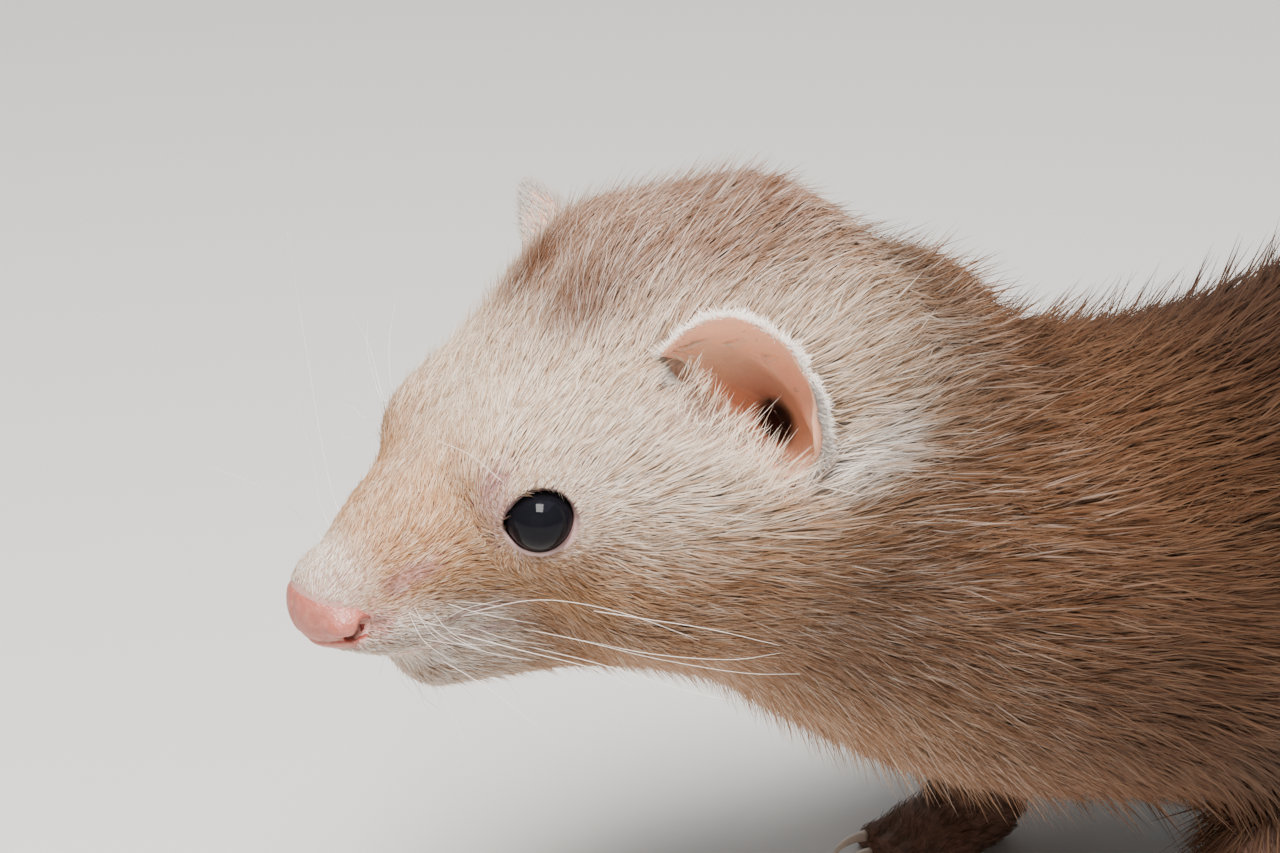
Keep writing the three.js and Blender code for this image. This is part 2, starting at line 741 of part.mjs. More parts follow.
const trunkMade = limbs.reduce((s, limb) => s.subtract(limbRoom(limb, GAP)), bodyMesh);
add("neck", slice(trunkMade, [front(NAPE), back(SHOULDERS)]), materials.coat);
add("chest", slice(trunkMade, [front(SHOULDERS), back(RIBS)]), materials.coat);
add("belly", slice(trunkMade, [front(RIBS), back(LOIN)]), materials.coat);
add("rump", slice(trunkMade, [front(LOIN), back(TAIL_ROOT)]), materials.coat);

const tailGrid = [ticks(-412, -268, TAIL_CELL), ticks(-16, 42, TAIL_CELL), ticks(10, 66, TAIL_CELL)];
const tailField = (x, y, z) => blend(tail(x, y, z), trunk(x, y, z), 5);
const tailMesh = solid(surfaceOf(tailField, ...tailGrid));
add("tail_root", slice(tailMesh, [front(TAIL_ROOT), back(TAIL_MIDDLE)]), materials.coat);
add("tail_end", slice(tailMesh, [front(TAIL_MIDDLE)]), materials.coat);

// The limbs, paws and claws
const WRIST = 9.5; // height of the cut between a limb and its paw

/** A claw as a curved cone from a toe's tip down to just above the floor. */
function claw(end, side, index) {
  const { tip } = toeLine(end, side, index);
  const [x, y, z] = tip;
  const from = [x + TOE_RADIUS * 0.62, y, z + 1.1];
  const path = new THREE.QuadraticBezierCurve3(
    new THREE.Vector3(...from),
    new THREE.Vector3(from[0] + CLAW_LENGTH * 0.6, y, from[2] + 0.9),
    new THREE.Vector3(from[0] + CLAW_LENGTH * 0.95, y, 0.9),
  );
  const STEPS = 5;
  const AROUND = 6;
  const rings = Array.from({ length: STEPS }, (_, i) => {
    const p = path.getPoint(i / STEPS);
    const t = path.getTangent(i / STEPS);
    const r = CLAW_RADIUS * (1 - i / STEPS) + 0.12;
    return Array.from({ length: AROUND }, (_, j) => {
      const a = (2 * Math.PI * j) / AROUND;
      const rise = r * Math.sin(a);
      return new THREE.Vector3(p.x - t.z * rise, p.y + 0.85 * r * Math.cos(a), p.z + t.x * rise);
    });
  });
  return solid(shell([[new THREE.Vector3(...from)], ...rings, [path.getPoint(1)]]));
}

for (const limb of limbs) {
  const name = limb.end + "_" + limb.name;
  const paw = PAWS[limb.end];
  const shift = limb.side < 0 ? STRIDE[limb.end] : 0;
  const low = limb.side > 0 ? 1 : -44;
  const legGrid = [
    ticks(...LIMB_SPAN[limb.end], LEG_CELL),
    ticks(low, low + 43, LEG_CELL),
    ticks(2, 76, LEG_CELL),
  ];
  const legMesh = solid(surfaceOf(bodyField, ...legGrid));
  const floorOfLeg = halfSpace([0, 0, WRIST + GAP / 2], [0, 0, -1]);
  const leg = legMesh.intersect(limbRoom(limb, 0)).subtract(floorOfLeg);
  add(name + "_leg", leg, materials.coat);

  const field = pawField(limb.end, limb.side);
  const joined = (x, y, z) => blend(field(x, y, z), limb.field(x, y, z), 2.5);
  const [hx, hy] = [paw.heel[0] + shift, limb.side * paw.heel[1]];
  const pawGrid = [
    ticks(hx - 17, hx + paw.reach + 9, PAW_CELL),
    ticks(hy - 13, hy + 13, PAW_CELL),
    ticks(-5, 14, PAW_CELL),
  ];
  const mesh = solid(surfaceOf(joined, ...pawGrid));
  const kept = block([-HUGE, -HUGE, 0], [HUGE, HUGE, WRIST - GAP / 2]);
  for (let i = 0; i < TOES; i++) {
    const nail = claw(limb.end, limb.side, i);
    add(name + "_claw_" + (i + 1), nail.subtract(mesh), materials.claw);
  }
  add(name + "_paw", mesh.intersect(kept), materials.coat);
}

// The origin goes to the floor under the middle of the model.
const bounds = new THREE.Box3().setFromObject(ferret);
const middle = bounds.getCenter(new THREE.Vector3());
ferret.position.set(-middle.x, -middle.y, -bounds.min.z);

export default ferret;
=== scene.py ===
"""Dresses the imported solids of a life-size young cream ferret.

Numbers of shape are millimetres, in the row frame before its shift or in the head's own frame
(x towards the nose, y to the animal's left, z up), and become metres when a mesh is made.
"""

import logging
import math
from collections.abc import Callable, Sequence
from dataclasses import dataclass, field
from enum import Enum
from typing import Any

import bpy
import numpy as np
from mathutils import Matrix, Vector


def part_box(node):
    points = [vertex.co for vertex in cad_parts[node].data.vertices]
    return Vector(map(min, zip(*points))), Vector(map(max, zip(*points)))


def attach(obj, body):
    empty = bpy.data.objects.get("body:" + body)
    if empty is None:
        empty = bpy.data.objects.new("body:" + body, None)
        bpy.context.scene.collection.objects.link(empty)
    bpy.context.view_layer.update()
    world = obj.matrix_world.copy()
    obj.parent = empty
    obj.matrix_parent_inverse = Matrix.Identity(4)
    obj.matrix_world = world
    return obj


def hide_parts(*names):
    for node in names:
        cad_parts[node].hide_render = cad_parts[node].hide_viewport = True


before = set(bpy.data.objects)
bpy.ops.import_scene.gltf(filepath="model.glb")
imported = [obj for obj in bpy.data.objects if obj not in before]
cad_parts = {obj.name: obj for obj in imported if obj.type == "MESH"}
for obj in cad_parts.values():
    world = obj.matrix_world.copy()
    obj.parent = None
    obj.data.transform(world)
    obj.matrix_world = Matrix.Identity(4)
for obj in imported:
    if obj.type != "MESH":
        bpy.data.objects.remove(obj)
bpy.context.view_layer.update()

LOG = logging.getLogger("ferret")
MM = 0.001
FAR = 1e6
BODY = "root"
MAP_NAME = "OFBake"
PATCH = 0.003
BEND = 0.36

Array = np.ndarray
Field = Callable[[Array], Array]
Colour = tuple[float, float, float]


# ---------------------------------------------------------------- numbers in space


def unit(v: Array) -> Array:
    """Vectors scaled to length one."""
    return v / (np.linalg.norm(v, axis=-1, keepdims=True) + 1e-12)


def ramp(x: Array, low: float, high: float) -> Array:
    """A smooth step from 0 at low to 1 at high."""
    t = np.clip((x - low) / (high - low), 0.0, 1.0)
    return t * t * (3.0 - 2.0 * t)


def blend(a: Array, b: Array, width: float) -> Array:
    """Smooth union of two fields' values over a blend width."""
    h = np.clip(0.5 + 0.5 * (b - a) / width, 0.0, 1.0)
    return b + (a - b) * h - width * h * (1.0 - h)


def carve(a: Array, b: Array, width: float) -> Array:
    """Field a with field b smoothly taken away."""
    return -blend(-a, b, width)


def smooth_rows(rows: Sequence[Sequence[float]], count: int) -> Array:
    """Rows of numbers made smooth by a Catmull-Rom curve.

    Args:
        rows: The rows, all of one length.
        count: How many rows each span becomes.

    Returns:
        The finer rows, with the last one kept.
    """
    s = np.array(rows, float)
    p = np.vstack([2 * s[0] - s[1], s, 2 * s[-1] - s[-2]])
    out = []
    for i in range(1, len(p) - 2):
        a, b, c, d = p[i - 1 : i + 3]
        for t in np.arange(count) / count:
            cubic = 3 * b - 3 * c + d - a
            out.append(0.5 * (2 * b + (c - a) * t + (2 * a - 5 * b + 4 * c - d) * t**2 + cubic * t**3))
    out.append(p[-2])
    return np.array(out)


def sweep(rows: Array) -> Field:
    """Field of elliptical sections swept along a path.

    Args:
        rows: x, y, z, half width and half height of each section.

    Returns:
        The field.
    """
    legs = []
    for a, b in zip(rows[:-1], rows[1:]):
        step = b[:3] - a[:3]
        along = unit(step)
        side = unit(np.cross([0.0, 0.0, 1.0], along))
        legs.append((a, b, step, float(step @ step), along, side, np.cross(along, side)))

    def value(p: Array) -> Array:
        """The swept field at points.

        Args:
            p: The points.

        Returns:
            The value at each.
        """
        near = np.full(len(p), np.inf)
        out = np.full(len(p), np.inf)
        for a, b, step, square, along, side, up in legs:
            q = p - a[:3]
            t = np.clip(q @ step / square, 0.0, 1.0)
            q -= t[:, None] * step
            far = np.einsum("ij,ij->i", q, q)
            w = a[3] + (b[3] - a[3]) * t
            h = a[4] + (b[4] - a[4]) * t
            m = np.minimum(w, h)
            e = (np.sqrt((q @ side / w) ** 2 + (q @ up / h) ** 2 + (q @ along / m) ** 2) - 1.0) * m
            out = np.where(far < near, e, out)
            near = np.minimum(near, far)
        return out

    return value


def egg(centre: Sequence[float], radii: Sequence[float]) -> Field:
    """Field of an ellipsoid.

    Args:
        centre: Its middle.
        radii: Its half sizes along x, y and z.

    Returns:
        The field.
    """
    c, r = np.array(centre, float), np.array(radii, float)

    def value(p: Array) -> Array:
        """The ellipsoid's field at points.

        Args:
            p: The points.

        Returns:
            The value at each.
        """
        q = (p - c) / r
        k = np.linalg.norm(q, axis=-1)
        return k * (k - 1.0) / (np.linalg.norm(q / r, axis=-1) + 1e-9)

    return value


def cone(a: Sequence[float], b: Sequence[float], ra: float, rb: float) -> Field:
    """Field of a round cone between two points.

    Args:
        a: One end.
        b: The other end.
        ra: The radius at the first end.
        rb: The radius at the other end.

    Returns:
        The field.
    """
    start, step = np.array(a, float), np.array(b, float) - np.array(a, float)

    def value(p: Array) -> Array:
        """The cone's field at points."""
        t = np.clip((p - start) @ step / (step @ step), 0.0, 1.0)
        return np.linalg.norm(p - start - t[:, None] * step, axis=-1) - (ra + (rb - ra) * t)

    return value


def slopes(of: Field, p: Array, step: float = 0.05) -> Array:
    """The gradient of a field at points."""
    base = of(p)
    return np.stack([(of(p + step * axis) - base) / step for axis in np.eye(3)], axis=-1)


def settle(of: Field, p: Array, turns: int, limit: float) -> Array:
    """Points moved onto the surface where a field is zero.

    Args:
        of: The field.
        p: The points.
        turns: How many Newton steps.
        limit: The most that a point moves in one step.

    Returns:
        The moved points.
    """
    for _ in range(turns):
        v, g = of(p), slopes(of, p)
        move = v[:, None] * g / ((g * g).sum(-1, keepdims=True) + 1e-6)
        far = np.linalg.norm(move, axis=-1, keepdims=True)
        p = p - move * np.minimum(1.0, limit / (far + 1e-9))
    return p


def wobble(p: Array, size: float, seed: int) -> Array:
    """A smooth vector noise with values about -1 to 1, made of a few sine waves.

    Args:
        p: Points.
        size: The length of its bumps.
        seed: Which noise.

    Returns:
        One vector for each point.
    """
    rng = np.random.default_rng(seed)
    out = np.zeros_like(p)
    for _ in range(5):
        way = unit(rng.normal(size=(3, 3))) * 2 * math.pi / (size * rng.uniform(0.7, 1.6))
        out += np.sin(p @ way.T + rng.uniform(0, 2 * math.pi, 3))
    return out / 2.6


def ticks(*runs: tuple[float, float, float]) -> Array:
    """Grid lines over runs of low, high and step."""
    lines = [np.linspace(a, b, max(2, math.ceil((b - a) / s)), endpoint=False) for a, b, s in runs]
    return np.concatenate([*lines, [runs[-1][1]]])


def surface_of(of: Field, xs: Array, ys: Array, zs: Array) -> tuple[Array, Array]:
    """A closed surface where a field is zero, of four-sided faces.

    Args:
        of: The field.
        xs: Grid lines along x.
        ys: Grid lines along y.
        zs: Grid lines along z.

    Returns:
        Corners, and faces as rows of four corner numbers.
    """
    grid = np.stack(np.meshgrid(xs, ys, zs, indexing="ij"), -1)
    shape = grid.shape[:3]
    value = of(grid.reshape(-1, 3)).reshape(shape)
    for axis in range(3):
        for end in (0, -1):
            rim = [slice(None)] * 3
            rim[axis] = end
            value[tuple(rim)] = np.abs(value[tuple(rim)]) + 0.1
    strides = np.array([shape[1] * shape[2], shape[2], 1])
    total = np.zeros((value.size, 3))
    count = np.zeros(value.size)
    faces = []
    for axis in range(3):
        near = [slice(None)] * 3
        far = [slice(None)] * 3
        near[axis], far[axis] = slice(0, -1), slice(1, None)
        a, b = value[tuple(near)], value[tuple(far)]
        at = np.argwhere((a < 0) != (b < 0))
        va = a[tuple(at.T)]
        vb = b[tuple(at.T)]
        t = (va / (va - vb))[:, None]
        ends = at.copy()
        ends[:, axis] += 1
        place = grid[tuple(at.T)] * (1 - t) + grid[tuple(ends.T)] * t
        base = at @ strides
        u, v = strides[(axis + 1) % 3], strides[(axis + 2) % 3]
        ring = np.stack([base, base - u, base - u - v, base - v], axis=-1)
        for corner in range(4):
            np.add.at(total, ring[:, corner], place)
            np.add.at(count, ring[:, corner], 1)
        faces.append(np.where((va < 0)[:, None], ring, ring[:, ::-1]))
    used = np.flatnonzero(count)
    number = np.full(value.size, -1)
    number[used] = np.arange(len(used))
    return total[used] / count[used, None], number[np.concatenate(faces)]


def halve(points: Array, faces: Array) -> tuple[Array, Array]:
    """Splits each four-sided face into four.

    Args:
        points: Corners.
        faces: Rows of four corner numbers.

    Returns:
        The finer corners and faces.
    """
    edges = np.stack([faces, np.roll(faces, -1, axis=1)], -1).reshape(-1, 2)
    pairs, back = np.unique(np.sort(edges, axis=1), axis=0, return_inverse=True)
    middle = len(points) + back.reshape(-1, 4)
    centre = len(points) + len(pairs) + np.arange(len(faces))
    parts = [
        np.stack([faces[:, i], middle[:, i], centre, middle[:, i - 1]], -1) for i in range(4)
    ]
    places = [points, points[pairs].mean(1), points[faces].mean(1)]
    return np.concatenate(places), np.concatenate(parts)


# ---------------------------------------------------------------- the animal's form


HEAD_HEIGHT, HEAD_PITCH, HEAD_YAW = 90.0, -7.3, -4.0
EYE_AT = np.array([25.3, 12.5, 2.0])
EYE_LOOKS = unit(np.array([0.42, 0.87, 0.26]))
EYE_RADIUS, EYE_HOLE = 3.8, 4.75
NOSE_AT = np.array([48.5, 0.0, -6.8])
NOSE_RADII = np.array([8.5, 6.9, 3.9])
STRIDE = {"front": 8.0, "hind": -10.0}
TOES, TOE_RADIUS, SOLE_SINK = 4, 2.7, 1.4


def head_turn() -> Array:
    """The head's axes in the row frame, as columns.

    Returns:
        The matrix.
    """
    y, p = math.radians(HEAD_YAW), -math.radians(HEAD_PITCH)
    turn = np.array([[math.cos(y), -math.sin(y), 0], [math.sin(y), math.cos(y), 0], [0, 0, 1]])
    nod = np.array([[math.cos(p), 0, math.sin(p)], [0, 1, 0], [-math.sin(p), 0, math.cos(p)]])
    return turn @ nod


@dataclass
class Limb:
    """One leg with its paw, from the shoulder or hip down."""

    end: str
    side: int
    joints: Sequence[Sequence[float]]
    heel: tuple[float, float, float]
    reach: float
    width: float
    height: float
    rows: Array = field(init=False)

    def __post_init__(self) -> None:
        """Steps the joints of the right side forward or back."""
        feet = len(self.joints) - 1
        step = STRIDE[self.end] if self.side < 0 else 0.0
        self.rows = np.array(
            [[x + step * i / feet, self.side * y, z, r] for i, (x, y, z, r) in enumerate(self.joints)]
        )
        self.cones = [cone(a[:3], b[:3], a[3], b[3]) for a, b in zip(self.rows[:-1], self.rows[1:])]
        x, y, z = self.heel
        x += step
        palm = [
            [x - 1, self.side * y, z, 6, 5.6],
            [x + self.reach * 0.6, self.side * y, z - 1.4, self.width, self.height - 1.2],
        ]
        self.palm = sweep(np.array(palm))
        self.toes = []
        for i in range(TOES):
            across = (i - (TOES - 1) / 2) / ((TOES - 1) / 2)
            root = [x + self.reach * 0.45, self.side * y + across * (self.width - 3.4), z - 1.2]
            tip_x = x + self.reach + 3 - 2.6 * across**2
            tip = [tip_x, self.side * y + across * (self.width - 1.6), TOE_RADIUS - SOLE_SINK + 0.2]
            self.toes.append((np.array(root), np.array(tip)))

    @property
    def name(self) -> str:
        """The limb's name in the solids."""
        return f"{self.end}_{'left' if self.side > 0 else 'right'}"

    def leg(self, p: Array) -> Array:
        """Field of the leg's cones.

        Args:
            p: Points in the unshifted row frame.

        Returns:
            The value at each.
        """
        d = np.full(len(p), FAR)
        for part in self.cones:
            d = blend(d, part(p), 3.0)
        return d

    def paw(self, p: Array) -> Array:
        """Field of the paw with its toes.

        Args:
            p: Points in the unshifted row frame.

        Returns:
            The value at each.
        """
        d = self.palm(p)
        for root, tip in self.toes:
            d = blend(d, cone(root, tip, TOE_RADIUS, TOE_RADIUS * 0.92)(p), 1.0)
        return d


class Form:
    """The outer surface of the coat and the skin under it, as fields."""

    SKULL = (
        (-30, -2.4, 17, 13.9), (-19, 1.5, 21.5, 23), (-8, 2.4, 23.5, 24.2), (5, 3.5, 22.6, 25.2),
        (16, 2.3, 18.8, 19.7), (25, 0.4, 14, 15.3), (32, -2.2, 11, 11.8), (39, -4, 8.4, 9.6),
        (45.2, -5.6, 5.6, 6.3),
    )
    TRUNK = (
        (-6, 0, 84.5, 24, 23), (-26, 1, 71, 27, 27), (-50, 1, 58.5, 30, 30.8), (-78, 0, 50, 32, 32.5),
        (-112, -1, 50, 31.5, 32.5), (-150, -2, 54.5, 31.5, 32.5), (-195, -2, 59.5, 33, 34.5),
        (-238, 0, 55, 32, 33), (-267, 2, 48, 22.5, 24), (-284, 3, 44, 13.5, 13.5),
    )
    TAIL = (
        (-276, 2, 46, 13.5, 13.5), (-300, 5, 40, 12, 12), (-335, 11, 33, 12, 12),
        (-372, 18, 28, 9.6, 9.6), (-396, 23, 26, 6, 6), (-408, 26, 26, 3, 3),
    )
    ARM = ((-74, 16, 44, 18), (-88, 21, 28, 11.5), (-80, 21, 17, 8.2), (-74, 20.5, 8, 6.6))
    THIGH = (
        (-242, 14, 50, 22), (-224, 22, 33, 14), (-238, 23, 23, 9), (-252, 22, 12, 7),
        (-246, 22, 7, 6.2),
    )

    def __init__(self) -> None:
        """Sets up the fields and finds the row frame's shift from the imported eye."""
        self.turn = head_turn()
        self.home = np.array([0.0, 0.0, HEAD_HEIGHT])
        low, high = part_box("left_eye")
        self.shift = np.array((low + high) / 2) / MM - self.from_head(EYE_AT[None])[0]
        self.skull = smooth_rows(self.SKULL, 4)
        self.trunk = sweep(smooth_rows(self.TRUNK, 3))
        self.tail = sweep(smooth_rows(self.TAIL, 3))
        self.limbs = []
        for side in (1, -1):
            front, hind = (-74, 20.5, 5.2), (-247, 22, 5.2)
            self.limbs.append(Limb("front", side, self.ARM, front, 13, 7.6, 5.6))
            self.limbs.append(Limb("hind", side, self.THIGH, hind, 22, 7.4, 5.4))
        self.lumps = [
            (egg((5, 14, -8), (18, 10.5, 14)), 9.0),
            (cone((4, 3, -15.6), (34.5, 0.8, -16.3), 11.4, 4.9), 7.0),
            (egg((23.5, 8.7, 7.2), (9, 5, 5.2)), 6.0),
            (egg((39.5, 4.2, -8.4), (7.5, 4.4, 4)), 2.5),
            (egg((45.8, 0, -6.1), (4.9, 5.1, 4.5)), 1.4),
        ]
        self.pad = egg(NOSE_AT, NOSE_RADII)

    def to_head(self, p: Array) -> Array:
        """Points of the unshifted row frame in the head's frame."""
        return (p - self.home) @ self.turn

    def from_head(self, h: Array) -> Array:
        """Points of the head's frame in the unshifted row frame."""
        return h @ self.turn.T + self.home

    def folded(self, p: Array) -> Array:
        """Points in the head's frame, with those of the right side folded onto the left.

        Args:
            p: Points in the unshifted row frame.

        Returns:
            The folded points.
        """
        h = self.to_head(p)
        h[:, 1] = np.abs(h[:, 1])
        return h

    def metres(self, p: Array) -> Array:
        """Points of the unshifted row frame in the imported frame, in metres."""
        return (p + self.shift) * MM

    def head(self, h: Array) -> Array:
        """Field of the head in its own frame.

        Args:
            h: Points in the head's frame.

        Returns:
            The value at each.
        """
        q = h.copy()
        q[:, 1] = np.abs(q[:, 1])
        rows = self.skull
        u = np.clip(q[:, 0], rows[0, 0], rows[-1, 0])
        mid, w, t = (np.interp(u, rows[:, 0], rows[:, i]) for i in (1, 2, 3))
        m = np.minimum(w, t)
        far = (q[:, 1] / w) ** 2 + ((q[:, 2] - mid) / t) ** 2 + ((q[:, 0] - u) / m) ** 2
        d = (np.sqrt(far) - 1.0) * m
        for lump, width in self.lumps:
            d = blend(d, lump(q), width)
        return d

    def coat(self, p: Array) -> Array:
        """Field of the coat's outer surface over the whole animal.

        Args:
            p: Points in the unshifted row frame.

        Returns:
            The value at each.
        """
        d = self.trunk(p)
        for limb in self.limbs:
            lo, hi = limb.rows[:, 0].min() - 45, limb.rows[:, 0].max() + 45
            near = (p[:, 0] > lo) & (p[:, 0] < hi) & (p[:, 2] < 90)
            q = p[near]
            leg = blend(d[near], limb.leg(q), 9.0)
            d[near] = blend(leg, limb.paw(q), 2.5)
        near = p[:, 0] < -245
        d[near] = blend(self.tail(p[near]), d[near], 5.0)
        near = p[:, 0] > -60
        d[near] = blend(d[near], self.head(self.to_head(p[near])), 10.0)
        return d

    def depth(self, p: Array) -> Array:
        """How far the skin lies under the coat's outer surface.

        Args:
            p: Points in the unshifted row frame.

        Returns:
            The depth at each.
        """
        h = self.folded(p)
        stops = (0, 2, 6, 13, 23, 35, 49, 69, 97)
        deep = np.interp(self.pad(h), stops, (0.22, 0.3, 0.5, 0.9, 1.5, 2.3, 3.2, 4.4, 5.2))
        eye = np.linalg.norm(h - EYE_AT, axis=-1)
        deep = deep * (0.22 + 0.78 * ramp(eye, 4.2, 9.0))
        off = ramp(self.trunk(p), 0.0, 10.0) * (p[:, 0] < -50) * (p[:, 0] > -275)
        low = np.interp(p[:, 2], (0, 2.5, 8, 16, 32, 50), (0.0, 0.35, 0.9, 1.6, 3.2, 5.2))
        deep = deep * (1 - off) + np.minimum(low, deep) * off
        ends = np.interp(p[:, 0], (-410, -400, -372, -320, -270), (1.6, 2.6, 4.6, 5.6, 5.2))
        return np.minimum(deep, ends)

    def skin(self, p: Array) -> Array:
        """Field of the bare skin, with holes for the eyes and the ears' bowls.

        Args:
            p: Points in the unshifted row frame.

        Returns:
            The value at each.
        """
        d = self.coat(p) + self.depth(p)
        d = np.maximum(d, -p[:, 2])
        near = p[:, 0] > -40
        h = self.folded(p[near])
        e = carve(d[near], np.linalg.norm(h - EYE_AT, axis=-1) - EYE_HOLE, 0.4)
        e = carve(e, self.nostril(h), 0.4)
        d[near] = carve(e, EarShape().room(h), 0.8)
        return d

    def nostril(self, h: Array) -> Array:
        """Field of the comma-shaped nostril of the left side.

        Args:
            h: Points in the head's frame.

        Returns:
            The value at each.
        """
        slit = cone((43.5, 8.1, -5.6), (45.2, 6.6, -6.6), 0.5, 0.95)(h)
        turn = cone((45.2, 6.6, -6.6), (46.5, 5.0, -7.5), 0.95, 1.05)(h)
        bore = cone((46.5, 5.0, -7.5), (45.4, 2.8, -7.8), 1.05, 0.8)(h)
        return np.minimum(np.minimum(slit, turn), bore)


@dataclass(frozen=True)
class EarShape:
    """The D-shaped cup of an ear, straight at the front where it leaves the head."""

    at: tuple[float, float, float] = (3.2, 17.9, 8.5)
    half_height: float = 12.3
    back_reach: float = 11.4
    front_reach: float = 3.5
    deep: float = 9.0
    lean_back: float = -2.0
    lean_up: float = -6.0
    flare: tuple[float, float] = (1.3, 0.75)

    @property
    def axes(self) -> Array:
        """Rows that point to the back of the rim, up along it, and the way the ear faces.

        Returns:
            The three rows.
        """
        faces = unit(np.array([0.716, 0.65, -0.254]))
        up = unit(np.array([0.52, -0.256, 0.814]))
        return np.stack([np.cross(up, faces), up, faces])

    def room(self, h: Array) -> Array:
        """Field of the hollow that the ear takes from the head, in the head's frame.

        Args:
            h: Points in the head's frame.

        Returns:
            The value at each.
        """
        b, u, f = ((h - np.array(self.at)) @ self.axes.T).T
        down = np.clip(-f / self.deep, 0.0, 1.0)
        b, u = b - self.lean_back * down, u - self.lean_up * down
        reach = np.where(b > 0, self.back_reach, self.front_reach)
        power = np.where(u > 0, 0.72, 1.02)
        across, along = np.abs(b / reach) ** (1 / power), np.abs(u / self.half_height) ** (1 / power)
        more = self.swell(np.arctan2(np.sign(u) * along, np.sign(b) * across))
        across, along = np.abs(b / (reach + more)), np.abs(u / (self.half_height + more))
        k = (across ** (2 / power) + along ** (2 / power)) ** (power / 2)
        size = np.maximum(1 - down ** self.flare[0], 0.0) ** self.flare[1]
        return np.maximum((k - size) * 7.0, np.abs(f) - self.deep - 2.0)

    def swell(self, turn: Array) -> Array:
        """How far the haired rim stands out past the solid ear, most at its upper back."""
        stops = (-180, -25, 0, 12, 25, 45, 60, 75, 90, 180)
        return np.interp(np.degrees(turn), stops, (0, 0, 1.9, 3.2, 3.6, 3.5, 2.7, 1.7, 0.3, 0))

    def spot(self, down: Array, offset: float, turn: Array) -> Array:
        """Places on the bowl of the left side, in the head's frame.

        Args:
            down: Share of the depth, 0 at the rim.
            offset: How far the places lie outside the solid cup's outer face.
            turn: The angle about the way the ear faces, from its back over its top.

        Returns:
            The places.
        """
        size = np.maximum(1 - down ** self.flare[0], 0.0) ** self.flare[1]
        c, s = np.cos(turn), np.sin(turn)
        power = np.where(s > 0, 0.72, 1.02)
        reach = np.where(c > 0, self.back_reach, self.front_reach)
        offset = offset + self.swell((turn + math.pi) % (2 * math.pi) - math.pi)
        back = (reach + offset) * size * np.sign(c) * np.abs(c) ** power + self.lean_back * down
        up = (self.half_height + offset) * size * np.sign(s) * np.abs(s) ** power
        up = up + self.lean_up * down
        deep = self.deep * down
        return np.array(self.at) + np.stack([back, up, -deep], -1) @ self.axes

    def ring(self, down: float, offset: float, around: int) -> Array:
        """One ring of the bowl on the left side, of so many places, its front tucked into the skin.

        Args:
            down: Share of the depth, 0 at the rim.
            offset: How far it lies outside the solid cup's outer face.
            around: How many places it has.

        Returns:
            The places.
        """
        turn = 2 * math.pi * np.arange(around) / around
        tuck = ramp(-np.cos(turn), 0.1, 0.5) * (1 - ramp(np.array(down), 0.2, 0.5))
        places = self.spot(np.full(around, down), offset, turn)
        front = self.spot(np.full(around, down), offset + 1.9, turn) - 1.5 * self.axes[2]
        return places + (front - places) * tuck[:, None]


# ---------------------------------------------------------------- meshes


@dataclass
class Mould:
    """A mesh in the making, in millimetres of the unshifted row frame."""

    points: Array
    faces: Array
    normals: Array | None = None
    map: Array | None = None
    strand: Array | None = None

    def cast(self, form: Form, name: str, finish: bpy.types.Material, slot: str) -> bpy.types.Object:
        """Makes the object, in metres, riding on the body.

        Args:
            form: The animal's form, for the frame's shift.
            name: The piece's name.
            finish: Its material.
            slot: Not used.

        Returns:
            The object.
        """
        mesh = bpy.data.meshes.new(name)
        corners = self.faces.shape[1]
        mesh.vertices.add(len(self.points))
        mesh.vertices.foreach_set("co", form.metres(self.points).astype(np.float32).ravel())
        mesh.loops.add(self.faces.size)
        mesh.loops.foreach_set("vertex_index", self.faces.astype(np.int32).ravel())
        mesh.polygons.add(len(self.faces))
        starts = np.arange(0, self.faces.size, corners, dtype=np.int32)
        mesh.polygons.foreach_set("loop_start", starts)
        mesh.polygons.foreach_set("use_smooth", np.ones(len(self.faces), bool))
        mesh.update(calc_edges=True)
        if self.map is not None:
            layer = mesh.uv_layers.new(name=MAP_NAME)
            flat = self.map[self.faces.ravel()] if len(self.map) == len(self.points) else self.map
            layer.uv.foreach_set("vector", flat.astype(np.float32).ravel())
        if self.strand is not None:
            kept = mesh.attributes.new("strand", "FLOAT_VECTOR", "POINT")
            kept.data.foreach_set("vector", self.strand.astype(np.float32).ravel())
        if self.normals is not None:
            kept = mesh.attributes.new("custom_normal", "FLOAT_VECTOR", "POINT")
            kept.data.foreach_set("vector", unit(self.normals).astype(np.float32).ravel())
        mesh.materials.append(finish)
        made = bpy.data.objects.new(name, mesh)
        bpy.context.scene.collection.objects.link(made)
        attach(made, BODY)
        LOG.info("%s: %d faces", name, len(self.faces))
        return made


def joined(moulds: Sequence[Mould]) -> Mould:
    """Several moulds of one kind of face as one.

    Args:
        moulds: The moulds.

    Returns:
        The one mould.
    """
    starts = np.cumsum([0, *[len(m.points) for m in moulds[:-1]]])
    made = Mould(
        np.concatenate([m.points for m in moulds]),
        np.concatenate([m.faces + s for m, s in zip(moulds, starts)]),
    )
    for layer in ("normals", "map", "strand"):
        if getattr(moulds[0], layer) is not None:
            setattr(made, layer, np.concatenate([getattr(m, layer) for m in moulds]))
    return made


def lofted(rings: Sequence[Array], closed: bool = True) -> Mould:
    """A mould of four-sided faces over rings of equal length.

    Args:
        rings: The rings of points.
        closed: Whether the last ring joins the first, as on a torus.

    Returns:
        The mould, outside out where the rings turn left about their path.
    """
    points = np.concatenate(rings)
    n, around = len(rings), len(rings[0])
    i, j = np.meshgrid(np.arange(n if closed else n - 1), np.arange(around), indexing="ij")
    a, b = i * around + j, i * around + (j + 1) % around
    c, d = ((i + 1) % n) * around + j, ((i + 1) % n) * around + (j + 1) % around
    return Mould(points, np.stack([a, b, d, c], -1).reshape(-1, 4))


